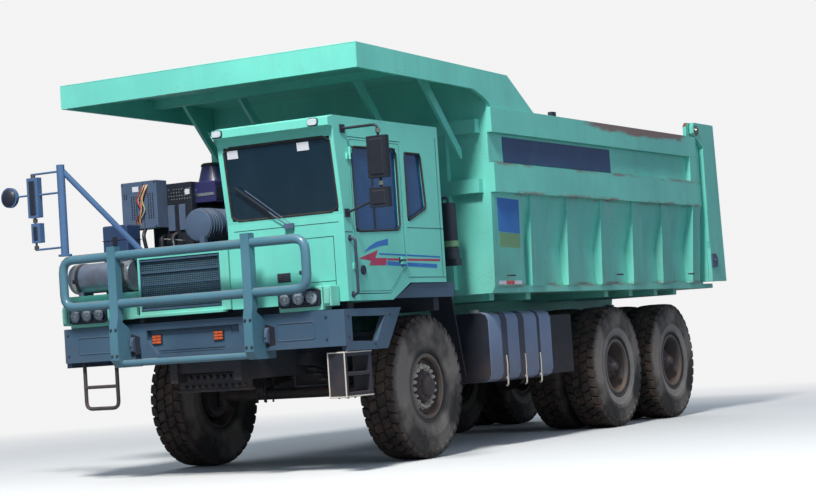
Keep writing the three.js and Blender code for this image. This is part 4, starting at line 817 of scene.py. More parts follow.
# ---------------------------------------------------------------- front end
def lamp_cluster(s, side):
    """Housing, bezel, three round lamps and the corner lens of one side."""
    node = f"headlamp_{side}"
    low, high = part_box(node)
    face, x0, x1 = low.y + 0.025, low.x, high.x
    housing = shape()
    box(housing, (x0, face + 0.03, low.z), (x1, high.y, high.z))
    fix(f"lamp_housing_{side}", housing, "mint", 30, 0.012, (node,))
    bezel = shape()
    outline = [(x0 + 0.012, low.z + 0.062), (x0 + 0.05, low.z + 0.042), (x1 - 0.05, low.z + 0.042),
               (x1 - 0.012, low.z + 0.062), (x1 - 0.012, high.z - 0.042), (x1 - 0.05, high.z - 0.02),
               (x0 + 0.05, high.z - 0.02), (x0 + 0.012, high.z - 0.042)]
    prism(bezel, outline, "Y", face + 0.002, face + 0.034)
    fix(f"lamp_bezel_{side}", bezel, "black", 30, 0.006)
    bowls, glass, bulbs = shape(), shape(), shape()
    for i in (-1, 0, 1):
        here = Vector(((x0 + x1) / 2 + i * 0.155, face, low.z + 0.125))
        turned(bowls, here, FRONT, [(0.058, -0.006), (0.068, 0.0), (0.0685, 0.014), (0.064, 0.02),
                                    (0.058, 0.017), (0.046, 0.001), (0.024, -0.004), (0.002, -0.005)], 36)
        turned(bulbs, here, FRONT, [(0.014, -0.004), (0.015, 0.01), (0.009, 0.014), (0.001, 0.015)], 16)
        turned(glass, here, FRONT, [(0.057, 0.010), (0.057, 0.015), (0.045, 0.0195), (0.028, 0.0225),
                                    (0.001, 0.024)], 36)
    fix(f"lamp_reflectors_{side}", bowls, "reflector", 30)
    fix(f"lamp_bulbs_{side}", bulbs, "lens", 30)
    fix(f"lamp_glasses_{side}", glass, "head_glass", 40)
    block_x0, block_x1 = pair(s, s * (x1 if s > 0 else x0) + 0.012, s * (x1 if s > 0 else x0) + 0.098)
    corner, lens = shape(), shape()
    box(corner, (block_x0, face + 0.03, low.z + 0.035), (block_x1, high.y - 0.01, high.z - 0.004))
    fix(f"corner_block_{side}", corner, "mint", 30, 0.01)
    box(lens, (block_x0 + 0.012, face + 0.012, low.z + 0.06), (block_x1 - 0.012, face + 0.032, high.z - 0.03))
    fix(f"corner_lens_{side}", lens, "corner_lens", 30, 0.006)


lamp_cluster(1, "left")
lamp_cluster(-1, "right")


def grille():
    """Backing, wire mesh and slats of the grille."""
    low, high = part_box("grille_housing")
    face = high.y - 0.115
    x0, x1 = low.x + 0.069, high.x - 0.109
    z0, z1 = low.z + 0.068, high.z - 0.029
    screen, net, slats = shape(), shape(), shape()
    box(screen, (x0, face + 0.028, z0), (x1, face + 0.034, z1))
    fix("grille_backing", screen, "strap", 30)
    columns, rows = 44, 26
    for i in range(columns + 1):
        x = x0 + (x1 - x0) * i / columns
        rod(net, (x, face + 0.022, z0), (x, face + 0.022, z1), 0.0022, 5)
    for i in range(rows + 1):
        z = z0 + (z1 - z0) * i / rows
        rod(net, (x0, face + 0.019, z), (x1, face + 0.019, z), 0.0022, 5)
    fix("grille_mesh", net, "bar", 60)
    for share, deep in ((0.02, 0.03), (0.5, 0.012), (0.74, 0.02), (0.97, 0.03)):
        z = z0 + (z1 - z0) * share
        box(slats, (x0, face + 0.024 - deep, z - 0.008), (x1, face + 0.024, z + 0.008))
    for x in (x0 + 0.004, x1 - 0.004):
        box(slats, (x - 0.004, face, z0), (x + 0.004, face + 0.026, z1))
    fix("grille_slats", slats, "slate", 30, 0.002)


def bumper():
    """Pressings, marker lamps, tow hooks, bolts and the cooler guard behind the bumper."""
    face = BUMPER_LOW.y
    pressings = shape()
    for s, foot, top in ((1, 0.36, 0.48), (-1, 0.44, 0.56)):
        # slanted ends of the middle recess, and the pressed rib round the flat wing
        corner = [(0.56 * s, 1.257), (foot * s, 1.257), (top * s, 1.40), (0.56 * s, 1.40)]
        prism(pressings, corner, "Y", face + 0.004, face + 0.058)
        x0, x1 = pair(s, 1.0, 1.43)
        gasket(pressings, [(x0, 1.30), (x1, 1.30), (x1, 1.465), (x0, 1.465)], "Y", face - 0.001, 0.012)
    box(pressings, (-0.56, face + 0.052, 1.262), (0.56, face + 0.059, 1.49))
    fix("bumper_pressings", pressings, "slate", 30, 0.004)
    plate = shape()
    box(plate, (-0.53, face + 0.045, 1.285), (0.44, face + 0.053, 1.475))
    fix("recess_plate", plate, "slate", 30, 0.006)
    lamps, lamp_frames = shape(), shape()
    for x in (-0.46, 0.29):
        box(lamp_frames, (x - 0.062, face + 0.034, 1.35), (x + 0.062, face + 0.05, 1.45))
        for k in range(6):
            x0, z0 = x - 0.052 + (k % 2) * 0.054, 1.358 + (k // 2) * 0.029
            box(lamps, (x0, face + 0.024, z0), (x0 + 0.049, face + 0.036, z0 + 0.024))
    fix("marker_lamp_frames", lamp_frames, "black", 30, 0.004)
    fix("marker_lamps", lamps, "orange", 30, 0.004)
    hooks, pockets, bolts = shape(), shape(), shape()
    for s in (1, -1):
        for side in (1, -1):
            x0, x1 = sorted((s * 0.81 + side * 0.055, s * 0.81 + side * 0.165))
            prism(pockets, [(x0, 1.25), (x1, 1.27), (x1, 1.44), (x0, 1.475)], "Y", face - 0.003, face + 0.01)
            x = s * 0.81 + side * 0.085
            prism(hooks, [(face - 0.045, 1.30), (face - 0.05, 1.38), (face - 0.03, 1.43),
                          (face + 0.005, 1.44), (face + 0.005, 1.28)], "X", x - 0.018, x + 0.018)
            hexagon(hooks, (x, face - 0.046, 1.35), FRONT, 0.011, 0.014)
        for z in (1.52, 1.26):
            for dx in (-0.03, 0.03):
                hexagon(bolts, (s * 0.81 + dx, BAR_LOW.y, z), FRONT, 0.012, 0.012)
        for z in (1.29, 1.5):
            hexagon(bolts, (s * 1.56, face, z), FRONT, 0.011, 0.01)
        for y, z in ((-1.80, 1.30), (-1.80, 1.50), (-1.32, 1.22), (-1.02, 1.50)):
            hexagon(bolts, at(s * 1.70, y, z), (s, 0, 0), 0.011, 0.01)
    fix("hook_pockets", pockets, "black", 30, 0.002)
    fix("tow_hooks", hooks, "grey", 30, 0.004)
    fix("front_bolts", bolts, "strap", 30)
    guard = shape()
    for i in range(10):
        x = -0.36 + i * 0.08
        rod(guard, at(x, -1.66, 0.99), at(x, -1.7, 0.99), 0.022, 10)
        rod(guard, at(x + 0.02, -1.66, 0.9), at(x + 0.02, -1.7, 0.9), 0.018, 10)
    block(guard, (-0.42, -1.66, 0.86), (0.44, -1.62, 1.03))
    block(guard, (-0.44, -1.67, 0.845), (0.46, -1.61, 0.87))
    fix("front_cooler_guard", guard, "dark", 40, 0.004)


def step_edges():
    """Rubbed edges of the left step."""
    low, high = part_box("step_left")
    edges = shape()
    front, out = low.y + 0.001, high.x - 0.001
    for z in (low.z + 0.008, high.z - 0.012):
        rod(edges, (low.x, front, z), (out, front, z), 0.007, 8)
        rod(edges, (out, front, z), (out, high.y, z), 0.007, 8)
    for x in (low.x + 0.004, out):
        rod(edges, (x, front, low.z), (x, front, high.z - 0.01), 0.007, 8)
    fix("step_edges", edges, "nut", 40)


grille()
bumper()
step_edges()


# ---------------------------------------------------------------- cab
LEAN = 0.1 / 0.775
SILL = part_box("windshield")[0].z - 0.03


def screen_y(z):
    """Outer face of the windshield at height z."""
    return AXLE_Y - 1.8 - LEAN * (z - SILL)


def strip(bm, low, high, deep, thick):
    """Thin strip that leans with the windshield between two (x, z) corners, deep behind its face."""
    (x0, z0), (x1, z1) = low, high
    corners = ((x0, deep), (x1, deep), (x1, deep + thick), (x0, deep + thick))
    ring = [Vector((x, screen_y(z0) + y, z0)) for x, y in corners]
    loft(bm, [ring, [Vector((p.x, p.y - LEAN * (z1 - z0), z1)) for p in ring]])


def windshield():
    """Seal, dark border and blank labels of the windshield."""
    low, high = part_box("windshield")
    seal, labels = shape(), shape()
    edge = [(low.x, low.z), (high.x, low.z), (high.x, high.z), (low.x, high.z)]
    gasket(seal, edge, "Y", lambda p: screen_y(p[1]) + 0.008, 0.026)
    border = 0.03
    for a, b in (((low.x, low.z), (high.x, low.z + border)),
                 ((low.x, high.z - border), (high.x, high.z)),
                 ((low.x, low.z), (low.x + border, high.z)),
                 ((high.x - border, low.z), (high.x, high.z))):
        strip(seal, a, b, 0.019, 0.003)
    fix("windshield_seal", seal, "seal", 40)
    for x0, x1 in ((0.475, 0.60), (1.29, 1.425)):
        strip(labels, (x0, high.z - 0.11), (x1, high.z - 0.03), 0.009, 0.0025)
    fix("windshield_labels", labels, "white", 30)


def wiper():
    """Wiper arms with their motor cap, and the blade."""
    pivot = Vector((1.11, screen_y(2.40) - 0.035, 2.40))
    tip = Vector((0.63, screen_y(2.76) - 0.03, 2.76))
    arms, blade = shape(), shape()
    rod(arms, pivot + Vector((0, 0.07, 0)), pivot + Vector((0, -0.012, 0)), 0.02)
    rod(arms, pivot, tip, 0.0055, 8)
    rod(arms, pivot + Vector((0.03, 0, 0.02)), tip + Vector((0.02, 0, 0.03)), 0.004, 8)
    box(arms, pivot - Vector((0.05, 0.015, 0.02)), pivot + Vector((0.05, 0.02, 0.03)))
    fix("wiper_arms", arms, "grey", 40, 0.001)
    along = (tip - pivot).normalized()
    for offset, radius in ((0.0, 0.006), (0.014, 0.004)):
        back = Vector((0, offset, 0))
        rod(blade, tip - along * 0.34 + back, tip + along * 0.12 + back, radius, 8)
    fix("wiper_blade", blade, "seal", 40)


def soft_oval(x, z, wide, high):
    """Outline between an oval and a rectangle, as (x, z)."""
    outline = []
    for k in range(24):
        a = 2 * math.pi * k / 24
        right = wide * math.copysign(abs(math.cos(a)) ** 0.55, math.cos(a))
        up = high * math.copysign(abs(math.sin(a)) ** 0.55, math.sin(a))
        outline.append((x + right, z + up))
    return outline


def roof_lamps():
    """Two lamps over the windshield, each in a rim."""
    lamps, rims = shape(), shape()
    y, z = CAB_LOW.y, CAB_HIGH.z - 0.06
    for x in (0.445, 1.555):
        for bm, grow, deep in ((rims, 0.008, 0.012), (lamps, 0.0, 0.024)):
            prism(bm, soft_oval(x, z, 0.052 + grow, 0.032 + grow), "Y", y - deep, y + 0.01)
    fix("roof_lamp_rims", rims, "black", 40, 0.003)
    fix("roof_lamps", lamps, "lens", 40, 0.005)


def cab_seams():
    """Joint lines on the front and the left of the cab, and the vent and lock on the front."""
    seams, vent = shape(), shape()
    for x0, z0, x1, z1 in ((1.268, 2.267, 1.592, 2.269), (1.592, 2.269, 1.592, 1.80),
                           (1.268, 1.842, 1.592, 1.842), (0.45, 2.40, 1.66, 2.40)):
        seam(seams, at(x0, -1.8, z0), at(x1, -1.8, z1), FRONT)
    for y0, z0, y1, z1 in ((-1.795, 2.30, -1.655, 2.30), (-0.63, 1.86, 0.14, 1.86),
                           (-0.60, 2.36, 0.145, 2.36), (0.09, 1.86, 0.09, 3.3)):
        seam(seams, at(CAB_X1, y0, z0), at(CAB_X1, y1, z1), LEFT)
    fix("cab_seams", seams, "black", 30)
    block(vent, (0.925, -1.804, 1.865), (1.078, -1.797, 1.955))
    for k in range(5):
        z = 1.875 + k * 0.017
        prism(vent, behind([(-1.803, z), (-1.812, z + 0.002), (-1.803, z + 0.011)]), "X", 0.935, 1.068)
    turned(vent, at(1.198, -1.799, 1.948), FRONT,
           [(0.02, 0), (0.02, 0.006), (0.012, 0.009), (0.001, 0.009)], 20)
    fix("front_vent_and_lock", vent, "strap", 30, 0.001)


def fixed_panes():
    """Fixed windows on the left, the right and the back, with their seals."""
    panes, seals = shape(), shape()
    quarter = behind([(-0.575, 2.42), (-0.18, 2.56), (-0.24, 3.12), (-0.575, 3.12)])
    right = behind([(-1.55, 2.42), (-0.25, 2.42), (-0.25, 3.10), (-1.55, 3.12)])
    back = [(0.545, 2.45), (1.55, 2.45), (1.55, 3.05), (0.545, 3.05)]
    for outline, axis, wall, s in ((quarter, "X", CAB_X1, 1), (right, "X", CAB_X0, -1),
                                   (back, "Y", CAB_HIGH.y, 1)):
        prism(panes, outline, axis, wall - s * 0.03, wall - s * 0.024)
        gasket(seals, inset_outline(outline, 0.004), axis, wall - s * 0.004, 0.024)
    fix("fixed_panes", panes, "side_glass", 40)
    fix("fixed_pane_seals", seals, "seal", 40)


def door_fittings():
    """Window seal, pressed lines, cap and handle of the door."""
    seal, lines, handle = shape(), shape(), shape()
    opening = behind([(-1.585, 2.30), (-0.73, 2.33), (-0.73, 3.15), (-1.595, 3.13)])
    gasket(seal, inset_outline(opening, 0.004), "X", CAB_X1 - 0.003, 0.022)
    seam(seal, at(CAB_X1 - 0.02, -1.19, 2.315), at(CAB_X1 - 0.02, -1.19, 3.13), LEFT, 0.016, 0.004)
    place("door_window_seal", seal, "door", "seal", 40)
    outline = [(-1.62, 1.73), (-0.995, 1.73), (-0.672, 1.975), (-0.672, 3.195), (-1.62, 3.195)]
    for a, b in zip(outline, outline[1:] + outline[:1]):
        seam(lines, at(CAB_X1, *a), at(CAB_X1, *b), LEFT, 0.004, 0.001)
    turned(lines, at(CAB_X1 - 0.001, -1.50, 1.933), LEFT,
           [(0.048, 0), (0.048, 0.008), (0.04, 0.013), (0.036, 0.010), (0.02, 0.012), (0.001, 0.012)], 28)
    place("door_lines_and_cap", lines, "door", "black", 30)
    block(handle, (CAB_X1 - 0.001, -0.80, 2.0), (CAB_X1 + 0.004, -0.69, 2.06))
    pipe(handle, [(CAB_X1 + 0.002, -0.79, 2.03), (CAB_X1 + 0.026, -0.785, 2.03),
                  (CAB_X1 + 0.026, -0.70, 2.03), (CAB_X1 + 0.002, -0.695, 2.03)], 0.008, 0.012)
    turned(handle, at(CAB_X1, -0.745, 1.97), LEFT, [(0.011, 0), (0.011, 0.005), (0.001, 0.006)], 16)
    place("door_handle", handle, "door", "black", 40, 0.001)


def grab_rail():
    """Grab rail in front of the door, with its two feet."""
    rail = shape()
    y, z0, z1 = -1.715, 1.70, 2.24
    wall, out = CAB_X1 - 0.005, CAB_X1 + 0.06
    pipe(rail, [(wall, y, z0), (out, y, z0), (out, y, z1), (wall, y, z1)], 0.014, 0.045)
    for z in (z0, z1):
        turned(rail, at(CAB_X1 - 0.001, y, z), LEFT, [(0.032, 0), (0.032, 0.006), (0.016, 0.01)], 16)
    fix("cab_grab_rails", rail, "strap", 50)


dressed("windshield", "glass", 0)
dressed("door_glass", "side_glass", 0)
windshield()
wiper()
roof_lamps()
cab_seams()
fixed_panes()
door_fittings()
grab_rail()


# ---------------------------------------------------------------- painted marks
DOOR_END, CAB_START = -0.654, -0.638


def decal(name, part, body, finish, wall=CAB_X1):
    """Flat coloured shape, given as (Y from the axle, Z), on a wall that faces +X."""
    bm = shape()
    prism(bm, behind(part), "X", wall - 0.0006, wall + 0.0012)
    place(name, bm, body, finish, 30)


def band(y0, y1, z0, z1, thick):
    return [(y0, z0 - thick), (y1, z1 - thick), (y1, z1 + thick), (y0, z0 + thick)]


def cab_marks():
    """Plain swoosh, bolt and stripes that run from the door on to the cab."""
    decal("door_mark_swoosh", [(-1.47, 2.105), (-1.36, 2.165), (-1.22, 2.21), (-1.0, 2.243), (-1.0, 2.18),
                               (-1.18, 2.165), (-1.33, 2.135)], "door", "mark_blue")
    decal("door_mark_bolt", [(-1.57, 2.045), (-1.20, 2.13), (-1.26, 2.052), (-1.04, 2.052), (-1.06, 1.978),
                             (-1.385, 1.978), (-1.345, 2.025)], "door", "mark_red")
    for finish, y0, y1, z0, z1, thick in (("mark_blue", -1.19, 0.05, 2.092, 2.066, 0.008),
                                          ("mark_red", -1.03, 0.046, 2.038, 2.034, 0.011),
                                          ("mark_blue", -1.04, -0.03, 2.0, 1.972, 0.02)):
        cut_z = z0 + (z1 - z0) * (DOOR_END - y0) / (y1 - y0)
        tag = f"{finish}_{int(z0 * 1000)}"
        decal("door_" + tag, band(y0, DOOR_END, z0, cut_z, thick), "door", finish)
        decal("cab_" + tag, band(CAB_START, y1, cut_z, z1, thick), "chassis", finish)


cab_marks()


# ---------------------------------------------------------------- mirrors
def mirrors():
    """Glasses, raised backs and clamps of both mirrors, and the round right mirror."""
    glasses, shells, clamps = shape(), shape(), shape()
    for low, high in (((2.022, -1.712, 2.79), (2.208, -1.706, 3.17)),
                      ((2.022, -1.712, 2.51), (2.204, -1.706, 2.68)),
                      ((-1.848, -2.07, 2.74), (-1.732, -2.064, 3.13)),
                      ((-1.82, -2.07, 2.48), (-1.727, -2.064, 2.66))):
        a, b = at(*low), at(*high)
        box(glasses, a, b)
        box(shells, (a.x + 0.02, a.y - 0.083, a.z + 0.02), (b.x - 0.02, a.y - 0.064, b.z - 0.02))
    turned(glasses, at(-2.115, -2.092, 2.965), REAR, [(0.094, 0), (0.094, 0.006), (0.001, 0.008)])
    turned(shells, at(-2.115, -2.127, 2.965), FRONT, [(0.095, 0), (0.08, 0.02), (0.05, 0.035), (0.001, 0.04)])
    fix("mirror_glasses", glasses, "bright", 30, 0.002)
    fix("mirror_shells", shells, "black", 35, 0.012)
    for x, y, z in ((2.12, -1.74, 3.23), (2.12, -1.74, 2.73),
                    (-1.8, -2.105, 3.16), (-1.8, -2.105, 2.70), (-1.8, -2.105, 2.42)):
        rod(clamps, at(x, y, z - 0.02), at(x, y, z + 0.02), 0.024)
    fix("mirror_clamps", clamps, "steel", 40)


mirrors()


# ---------------------------------------------------------------- right deck
DECK_LOW, DECK_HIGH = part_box("right_deck")
PANEL_LOW, PANEL_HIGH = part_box("control_box")
UNIT_Y = AXLE_Y - 1.05
UNIT_HOSES = (  # radius, rounding of the bends, path
    (0.055, 0.09, [(-0.60, -0.9, 2.62), (-0.46, -0.95, 2.66), (-0.40, -0.78, 2.72), (-0.5, -0.7, 2.86)]),
    (0.028, 0.05, [(-0.95, -1.04, 2.5), (-0.95, -1.12, 2.48), (-0.93, -1.12, 2.25), (-0.93, -1.0, 2.12)]),
    (0.022, 0.05, [(-0.80, -1.04, 2.5), (-0.80, -1.13, 2.46), (-0.72, -1.18, 2.26), (-0.62, -1.2, 2.19)]),
    (0.02, 0.05, [(-1.08, -1.2, 2.58), (-1.06, -1.28, 2.50), (-1.03, -1.26, 2.3), (-0.9, -1.3, 2.17)]),
)
chance = random.Random(7)


def deck_tread():
    """Raised tread marks on the deck, each turned the other way from the next."""
    tread = shape()
    for i in range(13):
        for j in range(28):
            foot = Vector((DECK_LOW.x + 0.05 + i * 0.064, DECK_LOW.y + 0.05 + j * 0.069, DECK_HIGH.z))
            turn = 1 if (i + j) % 2 else -1
            long = Vector((0.013, 0.013 * turn, 0))
            wide = Vector((-0.013 * turn, 0.013, 0)) * 0.28
            ring = [foot - long, foot - wide, foot + long, foot + wide]
            loft(tread, [[p - Vector((0, 0, 0.001)) for p in ring],
                         [foot + (p - foot) * 0.7 + Vector((0, 0, 0.002)) for p in ring]])
    fix("deck_tread", tread, "mint", 30)


def muffler():
    """Bands, end cap, straps and outlet pipe of the muffler."""
    low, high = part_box("muffler")
    y, z = (low.y + high.y) / 2, high.z - 0.155
    bands, straps = shape(), shape()
    for x, wide in ((low.x + 0.05, 0.045), (high.x - 0.05, 0.03)):
        turned(bands, (x, y, z), LEFT, [(0.15, 0), (0.161, 0.002), (0.161, wide), (0.15, wide + 0.002)], 40)
    turned(bands, (low.x + 0.004, y, z), (-1, 0, 0),
           [(0.145, 0), (0.13, 0.016), (0.06, 0.026), (0.055, 0.0262)], 40)
    fix("muffler_bands", bands, "bright", 35)
    for x in (-1.56, -1.03):
        turned(straps, (x - 0.025, y, z), LEFT, [(0.15, 0), (0.16, 0.001), (0.16, 0.049), (0.15, 0.05)], 40)
        box(straps, (x - 0.02, y - 0.19, z - 0.05), (x + 0.02, y - 0.15, z - 0.01))
        hexagon(straps, (x, y - 0.19, z - 0.03), FRONT, 0.01, 0.014)
    box(straps, (-0.985, y - 0.175, DECK_HIGH.z), (-0.935, y - 0.14, z + 0.12))
    tube(straps, [(high.x - 0.01, y, z + 0.02), (-0.83, y, z + 0.02), (-0.83, y + 0.22, z + 0.02),
                  (-0.83, y + 0.30, z - 0.1)], 0.06, 0.07)
    fix("muffler_straps_and_pipe", straps, "dark", 40, 0.002)


def control_panel():
    """Holes, screws, centre line, blank labels and loose wires of the control box."""
    holes, labels = shape(), shape()
    face = PANEL_LOW.y
    for x0, z0, columns, rows in ((-1.215, 2.68, 3, 12), (-1.0, 2.68, 3, 13), (-1.31, 2.90, 2, 3)):
        for i in range(columns):
            for j in range(rows):
                here = (x0 + i * 0.03, face, z0 + j * 0.021)
                turned(holes, here, FRONT, [(0.0085, 0), (0.0085, 0.0012), (0.001, 0.0013)], 8)
    for z in (PANEL_LOW.z + 0.02, PANEL_HIGH.z - 0.02):
        for x in (PANEL_LOW.x + 0.02, PANEL_HIGH.x - 0.02):
            hexagon(holes, (x, face, z), FRONT, 0.008, 0.006)
    seam(holes, (-1.06, face, PANEL_LOW.z + 0.01), (-1.06, face, PANEL_HIGH.z - 0.01), FRONT)
    fix("control_box_holes", holes, "black", 30)
    box(labels, (-1.20, face - 0.002, 2.965), (-1.12, face + 0.001, 3.02))
    block(labels, (-0.66, -1.056, 2.90), (-0.60, -1.048, 2.955))
    fix("unit_labels", labels, "white", 30, 0.001)
    for finish in ("wire_red", "wire_yellow"):
        wires = shape()
        for k in range(5):
            shift = chance.uniform(-0.042, 0.042)
            y = face - 0.012 - k * 0.006
            bend = chance.uniform(-0.04, 0.04)
            path = [(-1.01 + shift, face + 0.004, 3.03), (-1.02 + shift, y, 2.98),
                    (-1.07 + shift * 1.4, y - 0.006, 2.88), (-1.06 + bend, y, 2.76),
                    (-1.11 + shift, y, 2.66), (-1.12 + shift, face + 0.03, 2.56)]
            tube(wires, path, 0.004, 0.03, 7)
        fix(finish + "_bundle", wires, finish, 60)


def unit_front():
    """Panels, bolts, rods and hoses on the front of the upper engine unit."""
    panels, specks, hoses = shape(), shape(), shape()
    for x0, x1 in ((-0.885, -0.80), (-0.74, -0.66)):
        box(panels, (x0, UNIT_Y - 0.022, 2.53), (x1, UNIT_Y + 0.002, 2.80))
    fix("unit_panels", panels, "grey", 30, 0.006)
    for i in range(9):
        for j in range(4):
            if chance.random() < 0.75:
                here = Vector((-0.87 + i * 0.034, UNIT_Y, 2.86 + j * 0.034))
                rod(specks, here, here - Vector((0, 0.006, 0)), 0.0075, 8)
    rod(specks, at(-0.99, -1.10, 2.46), at(-0.70, -1.10, 2.42), 0.009, 10)
    rod(specks, at(-0.99, -1.10, 2.46), at(-0.99, -1.0, 2.46), 0.006, 8)
    rod(specks, at(-0.70, -1.10, 2.42), at(-0.70, -1.0, 2.42), 0.006, 8)
    block(specks, (-0.585, -0.985, 2.87), (-0.34, -0.966, 2.90))
    fix("unit_bolts_and_rod", specks, "bright", 40)
    for radius, bend, path in UNIT_HOSES:
        pipe(hoses, path, radius, bend)
    for k in range(4):
        block(hoses, (-0.70 + k * 0.19, -1.56, 2.195), (-0.60 + k * 0.19, -1.28, 2.215 + 0.02 * (k % 2)))
    block(hoses, (-0.56, -1.28, 2.19), (-0.1, -1.0, 2.33))
    turned(hoses, at(-0.50, -0.76, 3.19), UP, [(0.12, 0), (0.118, 0.02), (0.1, 0.034), (0.001, 0.038)])
    fix("unit_hoses_and_blocks", hoses, "black", 40, 0.004)


def intake():
    """Intake hood, ribs of the air filter, and the lid of the service box."""
    hood, ribs, lid = shape(), shape(), shape()
    block(hood, (-0.675, -0.98, 2.80), (-0.325, -0.56, 3.02))
    block(hood, (-0.655, -0.99, 2.87), (-0.56, -0.97, 2.95))
    fix("intake_hood", hood, "plum", 35, 0.03)
    low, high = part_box("air_filter")
    x, z = (low.x + high.x) / 2, high.z - 0.184
    for y in (-1.26, -1.215, -1.17, -1.03, -0.985, -0.94, -0.895, -0.85):
        turned(ribs, at(x, y, z), REAR, [(0.168, 0), (0.179, 0.006), (0.179, 0.014), (0.168, 0.02)], 36)
    turned(ribs, at(x, -1.29, z), FRONT,
           [(0.165, 0), (0.158, 0.012), (0.12, 0.02), (0.04, 0.024), (0.001, 0.024)], 36)
    block(ribs, (x + 0.03, -1.33, z - 0.25), (x + 0.09, -1.27, z - 0.12))
    fix("air_filter_ribs", ribs, "grey", 40, 0.002)
    low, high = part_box("service_box")
    box(lid, (low.x - 0.004, low.y - 0.004, high.z - 0.16), (high.x + 0.004, high.y + 0.004, high.z - 0.152))
    box(lid, (-1.30, low.y - 0.014, high.z - 0.21), (-1.25, low.y + 0.002, high.z - 0.12))
    fix("service_box_lid", lid, "black", 30, 0.003)


deck_tread()
muffler()
control_panel()
unit_front()
intake()


# ---------------------------------------------------------------- load body
side_mesh = frame["nodes"]["body_side_left"].data
side_skin = BVHTree.FromPolygons([v.co for v in side_mesh.vertices], [p.vertices for p in side_mesh.polygons])
RIBS = [2.093 + 0.947 * k for k in range(5)]
RIB_WIDTH = 0.296


def wall_x(y, z):
    """Outer surface of the left body side."""
    return side_skin.ray_cast(at(3.0, y, z), Vector((-1, 0, 0)))[0].x


def leaning_plate(name, outline, finish):
    """Thin plate that follows the lean of the front corner panel."""
    bm = shape()
    loft(bm, [[at(wall_x(1.5, z) + lift, y, z) for y, z in outline] for lift in (-0.001, 0.0015)])
    place(name, bm, "dump_body", finish, 30)


def body_marks():
    """Blank sign boards, blank plates and the reflector strip."""
    boards = shape()
    wall = wall_x(3.0, 3.25)
    outline = behind([(1.50, 3.105), (4.36, 3.105), (4.36, 3.385), (1.50, 3.385)])
    for s in (1, -1):
        prism(boards, outline, "X", s * (wall - 0.001), s * (wall + 0.008))
    place("blank_sign_boards", boards, "dump_body", "sign_blue", 30, 0.002)
    blue = [(1.29, 2.345), (1.80, 2.325), (1.80, 2.70), (1.28, 2.715)]
    olive = [(1.31, 2.175), (1.79, 2.17), (1.795, 2.325), (1.305, 2.335)]
    leaning_plate("blank_mark_blue", blue, "mark_blue")
    leaning_plate("blank_mark_olive", olive, "mark_olive")
    foot = wall_x(1.5, 1.79)
    # The red piece takes the faintly glowing red lens finish, a painted glow.
    for name, finish, y0, y1 in (("a", "white", 1.25, 1.42), ("b", "red", 1.42, 1.62),
                                 ("c", "white", 1.62, 1.80)):
        decal(f"reflector_{name}", band(y0, y1, 1.79, 1.787, 0.02), "dump_body", finish, foot)


def body_welds():
    """Weld beads beside the ribs and under the ledges of both sides."""
    welds = shape()
    for s in (1, -1):
        for rib in RIBS:
            for y, aside in ((rib, -0.03), (rib + RIB_WIDTH, 0.03)):
                levels = (1.78, 1.95, 2.1, 2.25, 2.5, 2.75)
                path = [(s * (wall_x(y + aside, z) + 0.001), y, z) for z in levels]
                pipe(welds, path, 0.006, 0.0, 6)
        for y0, y1, z in ((1.22, 6.82, 3.412), (1.9, 6.82, 3.092), (1.9, 6.82, 2.768)):
            pipe(welds, [(s * (wall_x(y0 + 0.05, z) + 0.001), y0, z),
                         (s * (wall_x(y1 - 0.05, z) + 0.001), y1, z)], 0.006, 0.0, 6)
    place("body_weld_beads", welds, "dump_body", "mint", 60)


def body_hooks():
    """Lugs on the rails, tarpaulin hooks under the sides, and the bead round the canopy's front."""
    hooks, bead = shape(), shape()
    for s in (1, -1):
        block(hooks, (s * 1.80 - 0.03, 2.74, BODY_TOP), (s * 1.80 + 0.03, 2.84, BODY_TOP + 0.055))
        near, far = s * 1.845, s * 1.875
        for y in (1.3, 4.2, 6.5):
            pipe(hooks, [(near, y, 1.86), (far, y, 1.86), (far, y + 0.14, 1.86), (near, y + 0.14, 1.86)],
                 0.01, 0.02, 8)
    place("body_hooks", hooks, "dump_body", "dark", 40, 0.004)
    for s in (1, -1):
        pipe(bead, [(s * 1.824, -1.552, 4.128), (s * 1.824, -1.552, 3.92)], 0.006, 0.0, 6)
    pipe(bead, [(-1.824, -1.552, 4.134), (1.824, -1.552, 4.134)], 0.006, 0.0, 6)
    place("canopy_edge_bead", bead, "dump_body", "mint", 60)


def tailgate_fittings():
    """Worn lining, hinge pins and lock plates of the tailgate."""
    lining, locks, pins = shape(), shape(), shape()
    block(lining, (-1.57, 7.3385, 1.80), (1.57, 7.341, 3.62))
    place("tailgate_lining", lining, "tailgate", "scraped", 30, 0.001)
    for s in (1, -1):
        turned(pins, at(s * 1.846, 7.12, 3.78), (s, 0, 0),
               [(0.07, 0), (0.07, 0.012), (0.045, 0.014), (0.04, 0.03), (0.001, 0.032)], 28)
        plate = behind([(7.36, 1.95), (7.52, 1.95), (7.56, 2.05), (7.50, 2.13), (7.36, 2.13)])
        prism(locks, plate, "X", *pair(s, 1.846, 1.872))
        hexagon(locks, at(s * 1.872, 7.44, 2.04), (s, 0, 0), 0.022, 0.02)
    place("tailgate_pins", pins, "tailgate", "steel", 35)
    place("tailgate_lock_plates", locks, "tailgate", "grey", 30, 0.006)


body_marks()
body_welds()
body_hooks()
tailgate_fittings()


